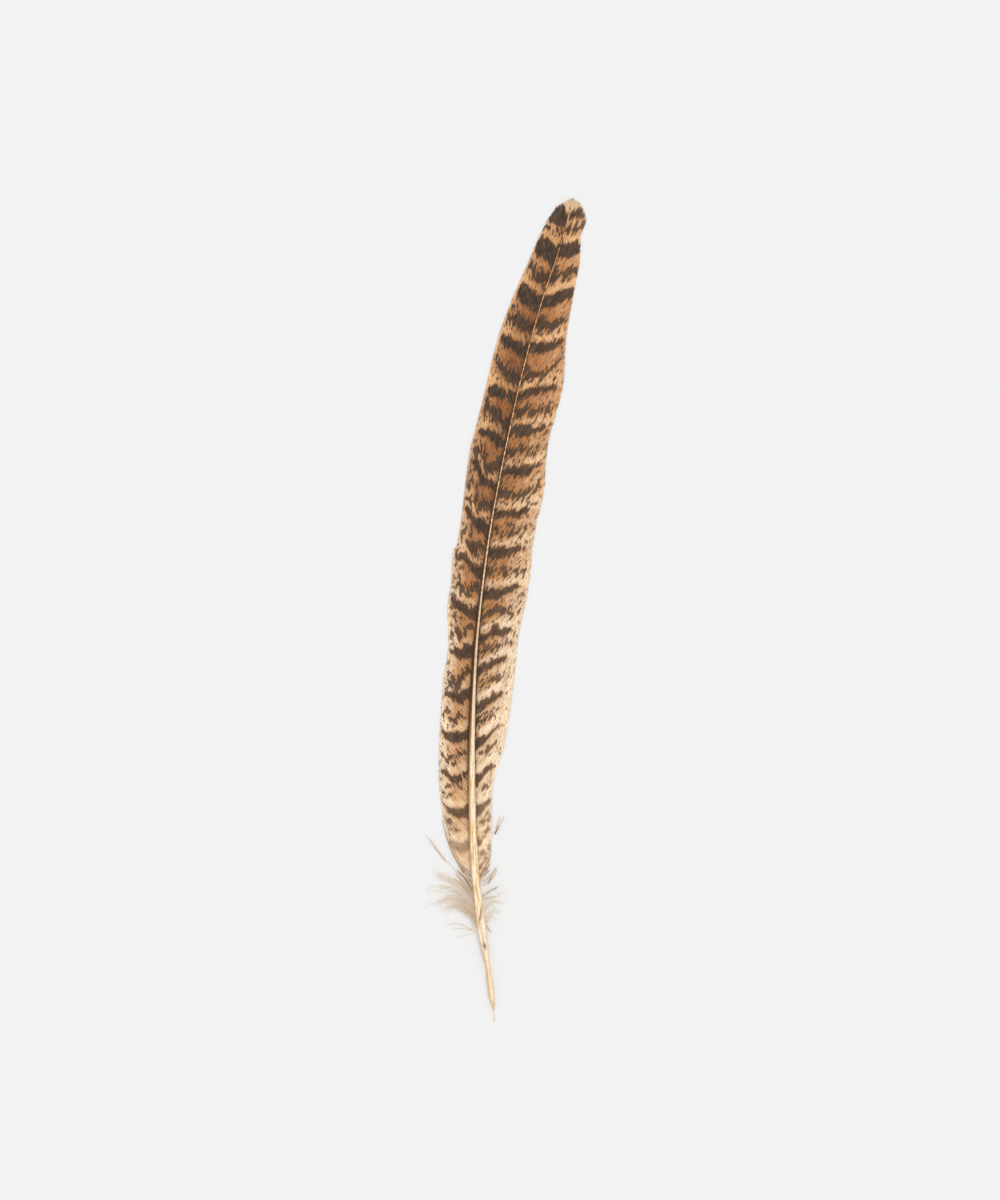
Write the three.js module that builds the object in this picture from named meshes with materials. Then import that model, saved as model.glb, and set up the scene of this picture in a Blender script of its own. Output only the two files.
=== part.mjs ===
// A pheasant's tail feather, lying flat with its patterned side up.
// Millimetres. +Y runs from the quill to the tip, +Z is up, and the surface that it lies on is Z = 0.
// The origin is the middle of the feather's outline, on that surface.

import * as THREE from 'three';

// ---- Driving dimensions -------------------------------------------------------------------------

const TIP_Y = 123.4; // the highest barbs of the tip
const QUILL_Y = -123.4; // the end of the dry thread that hangs from the quill's point
const SHAFT_TIP_Y = 121.7; // the shaft stops a little short of the last barbs

const SEAM = 0.3; // gap between the shaft and each vane
const SHAFT_FLATNESS = 0.9; // height of the shaft over its width
const VANE_THICKNESS = 0.45;
const VANE_ROOT_HEIGHT = 0.6; // where a vane leaves the shaft, as a share of the shaft's height
const VANE_CROWN = 0.3; // how far the middle of a vane stands above a straight line to its edge
const DOWN_THICKNESS = 1.2;
const DOWN_FLOOR = 0.1; // gap under the down

const SECTION_STEP = 4; // longest distance between two sections of a loft
const VANE_SPANS = 4; // flat spans from a vane's root to its edge

// Tables are [distance along Y, value], from the quill to the tip.

// Sideways place of the shaft's middle: a slow double bend, tighter near the tip.
const SHAFT_MIDDLE = [
  [QUILL_Y, -5.3],
  [-118.9, -5.9],
  [-109.0, -7.2],
  [-97.0, -9.1],
  [-78.7, -11.3],
  [-62.0, -12.1],
  [-46.0, -12.3],
  [-29.2, -12.0],
  [-13.6, -11.3],
  [-2.2, -10.3],
  [20.9, -7.4],
  [39.5, -4.1],
  [56.9, -0.5],
  [71.9, 2.9],
  [85.1, 6.4],
  [97.1, 10.0],
  [109.7, 14.3],
  [TIP_Y, 17.9],
];

// Width of the shaft: a dry thread, the shrunken quill with its pinched neck, then the long taper.
const SHAFT_WIDTH = [
  [QUILL_Y, 0.4],
  [-120.0, 0.4],
  [-118.6, 0.9],
  [-113.8, 1.6],
  [-107.0, 1.3],
  [-101.8, 2.0],
  [-95.0, 2.6],
  [-78.7, 2.5],
  [-46.3, 2.0],
  [-13.6, 1.3],
  [20.9, 0.8],
  [71.9, 0.55],
  [SHAFT_TIP_Y, 0.35],
];

// Outer edge of the left vane, sideways place. It starts on the shaft, above the down.
const LEFT_EDGE = [
  [-79.0, -13.9],
  [-75.4, -17.0],
  [-70.6, -19.4],
  [-58.6, -21.5],
  [-50.2, -22.3],
  [-39.4, -22.1],
  [-17.8, -20.6],
  [-10.6, -19.3],
  [1.4, -19.7],
  [8.6, -18.5],
  [18.2, -17.9],
  [20.6, -16.7],
  [47.0, -13.1],
  [63.8, -8.9],
  [83.0, -4.1],
  [95.0, 0.4],
  [104.6, 4.6],
  [114.2, 8.8],
  [121.4, 13.0],
  [TIP_Y, 16.8],
];

// Outer edge of the right vane, with the step below its tip.
const RIGHT_EDGE = [
  [-80.8, -9.0],
  [-77.0, -7.0],
  [-73.0, -6.3],
  [-53.8, -6.1],
  [-46.6, -4.6],
  [-41.8, -2.9],
  [-17.8, 0.8],
  [-8.2, 1.7],
  [6.2, 4.7],
  [23.0, 6.6],
  [37.4, 9.7],
  [47.0, 10.3],
  [71.0, 15.7],
  [80.6, 16.1],
  [95.0, 18.3],
  [107.0, 20.4],
  [112.7, 20.4],
  [117.4, 22.3],
  [121.8, 20.6],
  [TIP_Y, 18.9],
];

// Outlines of the packed middles of the two tufts of down, [x, y], from the top of each round its outer side.
const LEFT_DOWN = [
  [-13.0, -79.9],
  [-15.2, -80.3],
  [-19.7, -81.4],
  [-20.9, -84.7],
  [-18.2, -86.8],
  [-15.2, -88.9],
  [-13.7, -91.9],
  [-12.4, -94.6],
];
const RIGHT_DOWN = [
  [-8.7, -81.4],
  [-6.2, -81.7],
  [-4.4, -83.5],
  [-4.7, -86.2],
  [-5.9, -89.2],
  [-7.0, -92.2],
];

// ---- Shape helpers ------------------------------------------------------------------------------

// Value at y of the smooth curve through a table's pairs. It never overshoots them.
function along(table, y) {
  const last = table.length - 1;
  const slope = (i) => (table[i + 1][1] - table[i][1]) / (table[i + 1][0] - table[i][0]);
  const tangent = (i) => {
    const before = slope(Math.max(i - 1, 0));
    const after = slope(Math.min(i, last - 1));
    return before * after <= 0 ? 0 : (2 * before * after) / (before + after);
  };
  let i = 0;
  while (i < last - 1 && y > table[i + 1][0]) {
    i += 1;
  }
  const span = table[i + 1][0] - table[i][0];
  const t = THREE.MathUtils.clamp((y - table[i][0]) / span, 0, 1);
  const rise = t * t * (3 - 2 * t);
  const leaving = t * (1 - t) * (1 - t) * span * tangent(i);
  const arriving = t * t * (t - 1) * span * tangent(i + 1);
  return THREE.MathUtils.lerp(table[i][1], table[i + 1][1], rise) + leaving + arriving;
}

// Stations from one y to another that meet every station of a table, no further apart than SECTION_STEP.
function stations(table, from, to) {
  const marks = [from, ...table.map(([y]) => y).filter((y) => y > from && y < to), to];
  const found = [from];
  for (let i = 1; i < marks.length; i += 1) {
    const count = Math.ceil((marks[i] - marks[i - 1]) / SECTION_STEP);
    for (let k = 1; k <= count; k += 1) {
      found.push(THREE.MathUtils.lerp(marks[i - 1], marks[i], k / count));
    }
  }
  return found;
}

// Closed solid through rings of [x, y, z] points. The rings run clockwise seen from the first to the last.
function loft(rings) {
  const size = rings[0].length;
  const index = [];
  for (let r = 0; r < rings.length - 1; r += 1) {
    for (let i = 0; i < size; i += 1) {
      const a = r * size + i;
      const b = r * size + ((i + 1) % size);
      index.push(a, b, a + size, b, b + size, a + size);
    }
  }
  const end = (rings.length - 1) * size;
  for (let i = 1; i < size - 1; i += 1) {
    index.push(0, i + 1, i);
    index.push(end, end + i, end + i + 1);
  }
  const geometry = new THREE.BufferGeometry();
  geometry.setAttribute('position', new THREE.Float32BufferAttribute(rings.flat(2), 3));
  geometry.setIndex(index);
  geometry.computeVertexNormals();
  return geometry;
}

const shaftWidth = (y) => along(SHAFT_WIDTH, Math.min(y, SHAFT_TIP_Y));

const shaftHeight = (y) => SHAFT_FLATNESS * shaftWidth(y);

// Sideways place of the shaft's side: -1 is the left side and 1 the right one.
const shaftSide = (y, side) => along(SHAFT_MIDDLE, y) + (side * shaftWidth(y)) / 2;

// ---- Pieces -------------------------------------------------------------------------------------

// Shaft and quill in one: a domed back, rounded sides and a flat belly that rests on the surface.
function shaft() {
  const section = [
    [-0.3, 0],
    [-0.5, 0.35],
    [-0.45, 0.7],
    [-0.2, 1],
    [0.2, 1],
    [0.45, 0.7],
    [0.5, 0.35],
    [0.3, 0],
  ];
  const rings = stations(SHAFT_WIDTH, QUILL_Y, SHAFT_TIP_Y).map((y) => {
    const middle = along(SHAFT_MIDDLE, y);
    return section.map(([across, up]) => [middle + across * shaftWidth(y), y, up * shaftHeight(y)]);
  });
  return loft(rings);
}

// One vane: a thin, slightly crowned sheet from the shaft's side down to its outer edge on the surface.
function vane(edge, side) {
  const rings = stations(edge, edge[0][0], TIP_Y).map((y) => {
    const root = shaftSide(y, side) + side * SEAM;
    const rim = along(edge, y);
    const rootFloor = Math.max(VANE_ROOT_HEIGHT * shaftHeight(y) - VANE_THICKNESS / 2, 0);
    const floor = [];
    for (let i = 0; i <= VANE_SPANS; i += 1) {
      const f = i / VANE_SPANS;
      const z = rootFloor * (1 - f) + VANE_CROWN * Math.sin(Math.PI * f);
      floor.push([THREE.MathUtils.lerp(root, rim, f), y, z]);
    }
    const top = floor.map(([x, , z]) => [x, y, z + VANE_THICKNESS]);
    return side < 0 ? [...floor, ...top.reverse()] : [...top, ...floor.reverse()];
  });
  return loft(rings);
}

// The packed middle of one tuft of down: a low pad between its outline and the shaft's side.
function down(outline, side) {
  const inner = outline
    .map(([, y]) => [shaftSide(y, side) + side * SEAM, y])
    .filter(([x], i) => side * (outline[i][0] - x) > SEAM)
    .reverse();
  const pad = new THREE.Shape([...outline, ...inner].map(([x, y]) => new THREE.Vector2(x, y)));
  const geometry = new THREE.ExtrudeGeometry(pad, { depth: DOWN_THICKNESS, bevelEnabled: false });
  geometry.translate(0, 0, DOWN_FLOOR);
  return geometry;
}

// ---- Materials ----------------------------------------------------------------------------------

const keratin = new THREE.MeshStandardMaterial({ color: 0xe8cf9c, roughness: 0.4, metalness: 0 });
const leftBarbs = new THREE.MeshStandardMaterial({ color: 0x9c6f49, roughness: 0.75, metalness: 0 });
const rightBarbs = new THREE.MeshStandardMaterial({ color: 0xb98a5f, roughness: 0.75, metalness: 0 });
const leftFluff = new THREE.MeshStandardMaterial({ color: 0xd9cbbb, roughness: 0.9, metalness: 0 });
const rightFluff = new THREE.MeshStandardMaterial({ color: 0xddd0c2, roughness: 0.9, metalness: 0 });

// ---- Assembly -----------------------------------------------------------------------------------

const feather = new THREE.Group();

function place(name, geometry, material) {
  const mesh = new THREE.Mesh(geometry, material);
  mesh.name = name;
  feather.add(mesh);
}

place('shaft', shaft(), keratin);
place('vane_left', vane(LEFT_EDGE, -1), leftBarbs);
place('vane_right', vane(RIGHT_EDGE, 1), rightBarbs);
place('down_left', down(LEFT_DOWN, -1), leftFluff);
place('down_right', down(RIGHT_DOWN, 1), rightFluff);

export default feather;
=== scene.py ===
# A pheasant's tail feather, lying flat with its patterned side up.
# +Y runs along the feather from the quill to the tip and +Z is up. Sizes are in millimetres until they go
# into a mesh.

import math
from functools import partial

import bmesh
import bpy
import numpy as np
from bpy.props import FloatProperty, FloatVectorProperty, IntProperty, PointerProperty
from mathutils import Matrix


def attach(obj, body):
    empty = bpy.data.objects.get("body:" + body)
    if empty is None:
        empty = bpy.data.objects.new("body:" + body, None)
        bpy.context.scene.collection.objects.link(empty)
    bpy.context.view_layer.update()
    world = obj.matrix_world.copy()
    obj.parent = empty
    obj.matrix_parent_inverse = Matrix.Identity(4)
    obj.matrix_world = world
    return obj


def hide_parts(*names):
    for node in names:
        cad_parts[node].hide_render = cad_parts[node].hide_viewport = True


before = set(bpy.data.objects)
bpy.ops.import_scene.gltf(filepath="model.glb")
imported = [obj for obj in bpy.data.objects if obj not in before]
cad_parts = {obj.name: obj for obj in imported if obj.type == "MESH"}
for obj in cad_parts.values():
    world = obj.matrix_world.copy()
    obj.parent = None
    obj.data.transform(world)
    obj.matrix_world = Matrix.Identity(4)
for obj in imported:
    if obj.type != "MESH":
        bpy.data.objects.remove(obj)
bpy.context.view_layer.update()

bl_info = {
    "name": "Pheasant tail feather",
    "version": (1, 0, 0),
    "blender": (4, 5, 0),
    "location": "3D View > Sidebar > Feather",
    "description": "Builds a barred tail feather, barb by barb, round its frame",
    "category": "Add Mesh",
}

MM = 0.001
LEFT, RIGHT = -1, 1
SAME_SECTION = 0.02  # vertices of one section of the frame lie this close to each other along Y
TINY = 1e-9

# ---- Helpers ------------------------------------------------------------------------------------


def curve(pairs, place):
    """Value at each place on the line through (place, value) pairs."""
    places, values = zip(*pairs)
    return np.interp(place, places, values)


def mesh_points(mesh):
    """Millimetre places of a mesh's vertices."""
    flat = np.empty(3 * len(mesh.vertices))
    mesh.vertices.foreach_get("co", flat)
    return flat.reshape(-1, 3) / MM


def store(mesh, name, values, domain="POINT"):
    """Keeps a number or a vector for each vertex or face of the mesh, under the attribute's name."""
    kind, key = ("FLOAT", "value") if values.ndim == 1 else ("FLOAT_VECTOR", "vector")
    mesh.attributes.new(name, kind, domain).data.foreach_set(key, values.reshape(-1))


# ---- The frame's own shape ----------------------------------------------------------------------


def loft_sections(node):
    """Y of each section of a lofted node, with its lowest and highest X and its height."""
    points = mesh_points(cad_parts[node].data)
    stations = np.unique(points[:, 1].round(2))
    sections = [points[np.abs(points[:, 1] - station) < SAME_SECTION] for station in stations]
    lowest = np.array([section[:, 0].min() for section in sections])
    highest = np.array([section[:, 0].max() for section in sections])
    top = np.array([section[:, 2].max() for section in sections])
    return stations, lowest, highest, top


SHAFT_Y, SHAFT_LEFT, SHAFT_RIGHT, SHAFT_TOP = loft_sections("shaft")
SHAFT_FOOT, SHAFT_TIP = SHAFT_Y[0], SHAFT_Y[-1]


def shaft_middle(y):
    """X of the shaft's middle, which runs on straight past its tip."""
    middles = (SHAFT_LEFT + SHAFT_RIGHT) / 2
    lean = (middles[-1] - middles[-2]) / (SHAFT_Y[-1] - SHAFT_Y[-2])
    return np.interp(y, SHAFT_Y, middles) + lean * np.maximum(y - SHAFT_TIP, 0)


def shaft_half(y):
    return np.interp(y, SHAFT_Y, (SHAFT_RIGHT - SHAFT_LEFT) / 2)


def shaft_height(y):
    return np.interp(y, SHAFT_Y, SHAFT_TOP)


# ---- Markings -----------------------------------------------------------------------------------

# Bars cross a vane one after the other. Each is a list of (out, down, half): steps out from the shaft's
# middle, steps down from MARK_TOP to the middle of the bar, and half the bar's thickness in steps.
MARK_STEP = 0.3
MARK_TOP = 123.2
BAR_TAPER = 0.8  # how fast a bar thins past its first and last place, in steps of thickness to a step
BAR_SPACING = 40  # steps from one bar to the next, at most: the pattern runs on this far past the last ones

LEFT_BARS = [
    [(3, 20, 6), (6, 16.5, 9.5), (12, 14.5, 8.5), (17, 14, 6), (21, 15, 2)],
    [(1, 55, 11), (5, 54.5, 9.5), (10, 52, 9), (15, 49.5, 9.5), (20, 45.5, 9.5), (25, 43, 5)],
    [(1, 104, 7), (5, 104, 8), (10, 100.5, 8.5), (17, 96, 9), (22, 93, 9), (27, 89, 5)],
    [(1.5, 149.5, 8.5), (5, 151, 6), (10, 148, 6), (15, 145, 6), (25, 140.5, 5.5), (31, 136, 4.5)],
    [(1, 200, 8), (3, 200, 6), (7, 197, 5), (12, 194, 5), (18, 193, 6), (24, 191, 6), (29, 189, 3.5)],
    [(1, 246, 7), (5, 243, 6), (10, 240, 5), (15, 237, 5), (20, 233, 4.5), (29, 231.5, 2.5)],
    [(1, 288, 6), (8, 284.5, 4.5), (13, 282, 4.5), (18, 278, 5), (22, 271, 5), (26, 262, 5)],
    [(1, 332, 8), (3, 330, 7), (7, 325, 7), (11, 325, 7), (15, 324, 4), (19, 319, 4), (27, 308, 4)],
    [(1, 373, 9), (5, 372, 7), (10, 369, 5), (16, 363, 4.5), (22, 357, 4), (33, 353, 2)],
    [(2, 412, 9), (5, 414, 8), (10, 413, 4.5), (15, 409, 5.5), (20, 406, 4.5), (31, 398, 2.5)],
    [(2, 450, 8), (5, 451, 6), (10, 451.5, 6.5), (14, 454, 5.5), (22, 450, 4), (27, 452, 2)],
    [(2, 493, 7), (6, 493, 6), (11, 496.5, 6), (15, 499, 4.5), (19, 495, 4), (28, 494, 2)],
    [(2, 534, 7), (6, 535, 5), (12, 537, 4), (17, 538, 5), (22, 537, 4), (31, 530, 1.5)],
    [(3, 572, 5), (6, 574, 3.5), (10, 577, 4), (15, 580, 4), (20, 578, 3), (30, 571, 1.5)],
    [(5, 608, 6), (8, 611, 5), (13, 614, 4.5), (18, 613, 3.5), (23, 610, 2.5), (31, 602, 1.5)],
    [(5, 643, 5), (8, 646, 4), (13, 648, 4), (20, 645, 3), (26, 641, 1.5)],
]
RIGHT_BARS = [
    [(3, 15, 3), (5, 14.5, 4.5), (8, 14, 4.5), (12, 13.5, 4), (15, 14, 3)],
    [(1, 52, 8.5), (5, 50.5, 8.5), (10, 49.5, 8), (15, 48.5, 8), (19, 50, 5)],
    [(1, 103, 6.5), (5, 102, 7), (10, 101, 7), (14, 97, 8), (20, 96, 7), (26, 93, 5)],
    [(1, 146, 6), (8, 148, 6), (15, 148.5, 5), (22, 146.5, 4.5), (28, 143.5, 4), (33, 140.5, 2.5)],
    [(1, 197, 5.5), (5, 195, 4.5), (10, 192.5, 4.5), (16, 191, 4.5), (23, 189.5, 4), (36, 188, 2)],
    [(1, 234, 4), (5, 231.5, 5.5), (10, 231, 6.5), (16, 231, 6.5), (22, 232, 5), (34, 227.5, 2)],
    [(1, 273, 4.5), (6, 271.5, 4.5), (13, 271, 5), (20, 272, 5), (27, 271, 4.5), (38, 263, 2.5)],
    [(2, 314.5, 4), (8, 314, 5), (13, 314.5, 4), (20, 313.5, 4.5), (27, 312.5, 4), (33, 309.5, 2.5)],
    [(2, 354, 5), (8, 353, 5.5), (14, 353, 5.5), (20, 352, 5), (27, 350, 4), (33, 347.5, 3)],
    [(2, 395, 6), (8, 394.5, 5.5), (14, 394, 5.5), (20, 392.5, 5), (27, 389.5, 4), (34, 386.5, 2.5)],
    [(2, 440, 6), (7, 438.5, 5), (12, 434.5, 4.5), (17, 430.5, 7), (21, 433, 5), (32, 430, 2.5)],
    [(2, 474, 6), (7, 469, 5), (12, 466, 4.5), (18, 464, 4), (25, 460, 3), (31, 458, 2)],
    [(2, 509, 6), (6, 507.5, 5.5), (11, 504, 6), (17, 500.5, 4.5), (22, 497, 3.5), (28, 493, 2)],
    [(2, 546, 7), (6, 544, 5), (11, 540.5, 4), (14, 538, 2.5), (20, 531, 1.5), (27, 525, 1.5)],
    [(2, 581, 6), (6, 579, 4), (10, 575, 2.5), (14, 569, 3), (19, 566, 3)],
    [(2, 611, 5), (8, 609, 4), (13, 605, 2.5), (17, 600, 2)],
]

# Between the bars lie fainter ones, broken into mottles.
LEFT_MOTTLES = [
    [(13.5, 26.5, 0), (15, 26.5, 3), (17, 26.5, 3), (18.5, 26.5, 0)],
    [(2.5, 33, 0), (4, 33, 4), (7, 32, 5), (9.5, 31, 0)],
    [(2, 77, 8), (5, 79, 7), (10, 77, 7), (15, 76, 6), (20, 69, 6), (25, 62, 4)],
    [(2, 126, 4), (5, 128, 6), (10, 126, 8), (18, 121, 7), (25, 118, 7), (30, 115, 5)],
    [(2, 180, 4), (5, 178, 7), (10, 176, 7), (15, 173, 7), (20, 169, 5), (25, 166, 5), (30, 159, 4)],
    [(3, 224, 8), (7, 224, 7), (12, 219, 7), (17, 215, 7), (22, 211, 6), (28, 208, 7)],
    [(4, 264, 9), (9, 267, 7), (14, 270, 7), (17, 263, 6), (21, 252, 6), (28, 252, 6)],
    [(4, 307, 5), (7, 304, 6), (11, 304, 7), (16, 306, 7), (20, 298, 6), (25, 299, 4)],
    [(3, 346, 5), (8, 349, 7), (14, 349, 6), (19, 344, 6), (24, 340, 4), (29, 339, 3)],
    [(6, 386, 5), (12, 392, 7), (16, 388, 4), (22, 387, 6), (27, 380, 4)],
    [(10, 428, 4), (14, 438, 5), (18, 435, 6), (22, 432, 4)],
    [(7, 471, 5), (11, 475, 6), (15, 483, 7), (20, 480, 7), (26, 478, 5)],
    [(13, 516, 3), (16, 519, 5), (20, 519, 6), (24, 518, 4), (28, 513, 3)],
    [(11, 553, 3), (15, 557, 4.5), (20, 558, 4.5), (25, 560, 3)],
    [(17, 589, 2.5), (20, 592, 3.5), (24, 595, 4), (28, 592, 3)],
]
RIGHT_MOTTLES = [
    [(2, 29, 0), (3.5, 29, 5), (5.5, 29, 5), (7, 29, 0)],
    [(8, 30, 0), (10, 29, 5), (13, 29, 5), (15.5, 28, 0)],
    [(16.5, 22, 0), (18, 24, 7), (21, 24, 8)],
    [(3, 76, 8), (7, 78, 7), (11, 71, 4), (14.5, 77, 8), (19, 72, 6), (24, 68, 6)],
    [(4, 124, 7), (9, 125, 8), (14, 125, 7), (20, 125, 8), (27, 121, 6), (30.5, 117, 5)],
    [(3, 173, 7), (7, 176, 7), (12, 174, 5), (22, 175, 4.5), (27, 170, 4), (34, 160, 3)],
    [(5, 212, 6), (9, 214, 6), (13, 207, 6), (17, 212, 6), (22, 212, 5), (28, 210, 5), (34, 208, 6)],
    [(6, 254, 6), (10, 252, 5), (15, 249, 4), (20, 249, 4), (25, 254, 5), (31, 250, 4), (35, 248, 3)],
    [(5, 293, 6), (10, 294, 6), (15, 292, 5), (19, 297, 6), (25, 295, 5), (36, 291, 4.5), (41, 287, 3)],
    [(6, 328, 4), (10, 336, 5), (15, 332, 3), (20, 332, 5), (26, 332, 4), (31, 333, 4.5), (35, 327, 4)],
    [(6, 372, 4), (10, 370, 4), (15, 371, 3.5), (20, 373, 5), (26, 371, 3.5), (31, 371, 4.5), (37, 370, 4)],
    [(7, 417, 5), (12, 410, 5), (17, 411, 7), (22, 409, 4), (27, 411, 6), (31, 414, 5)],
    [(7, 452, 4), (16, 448, 4), (22, 447, 4), (28, 444, 3), (35, 441, 2)],
    [(6, 484, 4), (11, 481, 4), (17, 480, 4.5), (23, 478, 4.5), (29, 476, 4)],
    [(5, 522, 4), (9, 521, 4), (14, 517, 4), (19, 514, 3.5), (25, 509, 2)],
    [(10, 553, 0), (14, 550, 4.5), (19, 547, 4), (24, 543, 3.5), (27, 552, 3.5)],
    [(11, 588, 2), (14, 585, 3), (18, 581, 2)],
]

# Single flecks among the mottles.
LEFT_FLECKS = [
    (28, 106, 2), (12, 162, 2.5), (27, 284, 3), (22, 284, 3), (31, 271, 4), (19, 330, 2.5), (29, 425, 2.5),
    (27, 432, 2.5), (25, 415, 2.5), (18, 418, 2.5), (30, 554, 2), (28, 548, 2), (25, 622, 2), (21, 626, 2.5),
]
RIGHT_FLECKS = [
    (34, 178, 2), (33, 170, 2), (26, 222, 2.5), (37, 231, 3), (14, 260, 2.5), (20, 324, 2), (36, 328, 3),
    (40, 330, 2), (20, 361, 2), (30, 362, 2), (36, 400, 3), (38, 410, 3),
]

# Small marks with a place of their own near the base.
LEFT_SPOTS = [
    [(20, 624, 1.2), (22, 624, 2), (24, 621, 1.8), (26.5, 620.5, 1)],
    [(16.5, 630, 1.5), (18.5, 627.5, 1.8)],
]
RIGHT_SPOTS = [
    [(11, 622, 2.2), (12.5, 617, 1.3), (14, 613.5, 1), (16, 612.5, 1), (18, 616, 2)],
    [(16, 620, 1)],
    [(13.5, 632, 1.4), (15, 629, 3.2)],
    [(5, 642, 2.6), (8, 640, 2), (10, 636, 1.6)],
    [(17, 645, 1.4)],
    [(17.5, 649, 1.4)],
    [(9.5, 653, 2.6)],
    [(11, 658, 2)],
    [(5, 676, 1.2), (8, 672, 1.5), (11, 668, 1)],
    [(5, 667, 1), (8, 663, 1.4), (10, 660, 1)],
]
# Warmth of the ground from one bar (0) down to the next (1): rufous under a bar, buff above the next one.
WARMTH = [(0, 1), (0.35, 1), (0.55, 0.75), (0.68, 0.3), (0.78, 0), (0.95, 0.1), (1, 0.5)]
# The palest band is the one just above each bar.
FLASH = [(0, 0), (0.6, 0), (0.74, 1), (0.93, 1), (1, 0)]
# The faint bars are more torn the further out they run.
TATTER = [(0, 0.8), (0.5, 1.1), (1, 1.5)]
# Cream turns to honey colour up the feather, but not on its crest.
HONEY = [(-20, 0), (70, 1), (112, 1), (120, 0.6)]


def bar_field(out, down, bars):
    """Steps inside the nearest of the bars, or minus the steps to it, at each place of a vane."""
    field = np.full(out.shape, -float(BAR_SPACING))
    for bar in bars:
        outs, downs, halves = (np.array(column, float) for column in zip(*bar))
        past = np.maximum(outs[0] - out, 0) + np.maximum(out - outs[-1], 0)
        half = np.interp(out, outs, halves) - BAR_TAPER * past
        field = np.maximum(field, half - np.abs(down - np.interp(out, outs, downs)))
    return field


def bar_phase(out, down, bars):
    """Share of the way from the bar above each place to the bar below it."""
    middles = [np.interp(out, [place[0] for place in bar], [place[1] for place in bar]) for bar in bars]
    past = [middles[-1] + BAR_SPACING, middles[-1] + 2 * BAR_SPACING]
    middles = [middles[0] - BAR_SPACING] + middles + past
    phase = np.zeros(out.shape)
    for above, below in zip(middles, middles[1:]):
        share = (down - above) / (below - above)
        phase = np.where((share >= 0) & (share < 1), share, phase)
    return phase


# ---- Shaft --------------------------------------------------------------------------------------

# Tables are (Y, value). The bare quill dried into small bends, and a thread with a bead hangs from its point.
QUILL_TWIST = [(-123.4, 0.1), (-112, 0.12), (-100, 0.05), (-92, 0)]
QUILL_TURN = 1.1
# Y of the closely set sections of the quill, and the span and spacing of those of the shaft above them.
SHAFT_SPAN, SHAFT_STEP = (-66, 120), 8.0
QUILL_STATIONS = [
    -123.4, -123, -122.4, -121.5, -120, -119, -118, -116.5, -115, -113, -111, -109, -107.5, -106, -104.5,
    -103, -101.5, -100, -98.5, -97, -95.5, -94, -92.5, -91, -89.5, -88, -84, -80, -74,
]
# The rounded section is this much wider than the frame's, whose corners it cuts.
FULLNESS = [(-123.4, 1.3), (-123, 1.5), (-122.4, 0.6), (-120, 0.6), (-118.5, 1.0), (-117, 1.15), (-112, 1.15),
            (-107, 0.92), (-102, 1.12), (-95, 1.12), (-85, 1.06), (-20, 1.05), (30, 1.0)]
# A second ridge splits off the shaft's right side: the groove between the two crosses over and runs down
# the middle to a small scar. Places across are -1 at the shaft's left side and 1 at its right side.
GROOVE = [(-103, 0.1), (-98.2, 0), (-95.8, -0.15), (-93.4, -0.4), (-90.5, 0.35), (-88.3, 0.75)]
GROOVE_SPAN = [(-102, 0), (-101, 0.6), (-94.5, 0.3), (-92.5, 1), (-89.5, 1), (-87.8, 0)]
GROOVE_HALF = 0.26
GROOVE_DEPTH = 0.3
BELLY_SHARE = 0.12  # share of the shaft's height below which it is flattened on to the surface
SCAR = (0.1, -100.4, 0.6, 1.3)  # place across, Y, and half its width and length
SCAR_CORE, SCAR_FALL = 1.6, 1.2  # its strength at the middle, of which 1 shows, and how fast that falls
# The dry end is tan on its left side and along its right edge, with a pale streak between them.
TAN_SPAN = [(-120, 0), (-118, 0.5), (-113, 0.6), (-108.5, 0.85), (-106, 0.7), (-102, 0.5), (-99, 0)]
TAN_ACROSS = [(-1, 0.7), (-0.7, 1), (-0.1, 0.8), (0.15, 0.15), (0.5, 0.15), (0.8, 0.9), (1, 1)]


def quill_fields(points):
    """Values of SHAFT_FIELDS at points of the shaft, given in millimetres."""
    y = points[:, 1]
    across = (points[:, 0] - shaft_middle(y)) / shaft_half(y)
    groove = np.exp(-(((across - curve(GROOVE, y)) / GROOVE_HALF) ** 2)) * curve(GROOVE_SPAN, y)
    scar_at, scar_y, scar_half, scar_length = SCAR
    miss = np.abs(across - scar_at) / scar_half + np.abs(y - scar_y) / scar_length
    scar = np.clip(SCAR_CORE - SCAR_FALL * miss, 0, 1)
    tan = curve(TAN_SPAN, y) * curve(TAN_ACROSS, across)
    return {"across": across, "length": y, "tan": tan, "groove": groove, "scar": scar}


def draw_out_shaft(sides):
    """The shaft's solid, drawn out section by section from a circle at the quill's point."""
    upper = np.arange(*SHAFT_SPAN, SHAFT_STEP)
    stations = np.concatenate([QUILL_STATIONS, upper, [SHAFT_SPAN[1], SHAFT_TIP]])
    bpy.ops.object.select_all(action="DESELECT")
    bpy.ops.mesh.primitive_circle_add(
        vertices=sides, radius=MM / 2, fill_type="NGON", rotation=(math.pi / 2, 0, 0)
    )
    piece = bpy.context.object
    piece.name = piece.data.name = "shaft_and_quill"
    bpy.ops.object.transform_apply(location=False, rotation=True, scale=False)
    bpy.ops.object.mode_set(mode="EDIT")
    bpy.ops.mesh.select_all(action="SELECT")
    before = (0.0, 0.0, 0.0)
    size_before = (1.0, 1.0)
    for number, y in enumerate(stations):
        middle = shaft_middle(y) + curve(QUILL_TWIST, y) * math.sin(QUILL_TURN * y)
        width, height = 2 * shaft_half(y) * curve(FULLNESS, y), shaft_height(y)
        place = (middle * MM, y * MM, height / 2 * MM)
        move = tuple(b - a for a, b in zip(before, place))
        if number == 0:
            bpy.ops.transform.translate(value=move)
        else:
            bpy.ops.mesh.extrude_region_move(TRANSFORM_OT_translate={"value": move})
        scale = (width / size_before[0], 1, height / size_before[1])
        bpy.ops.transform.resize(value=scale, center_override=place)
        before, size_before = place, (width, height)
    return piece


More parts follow.
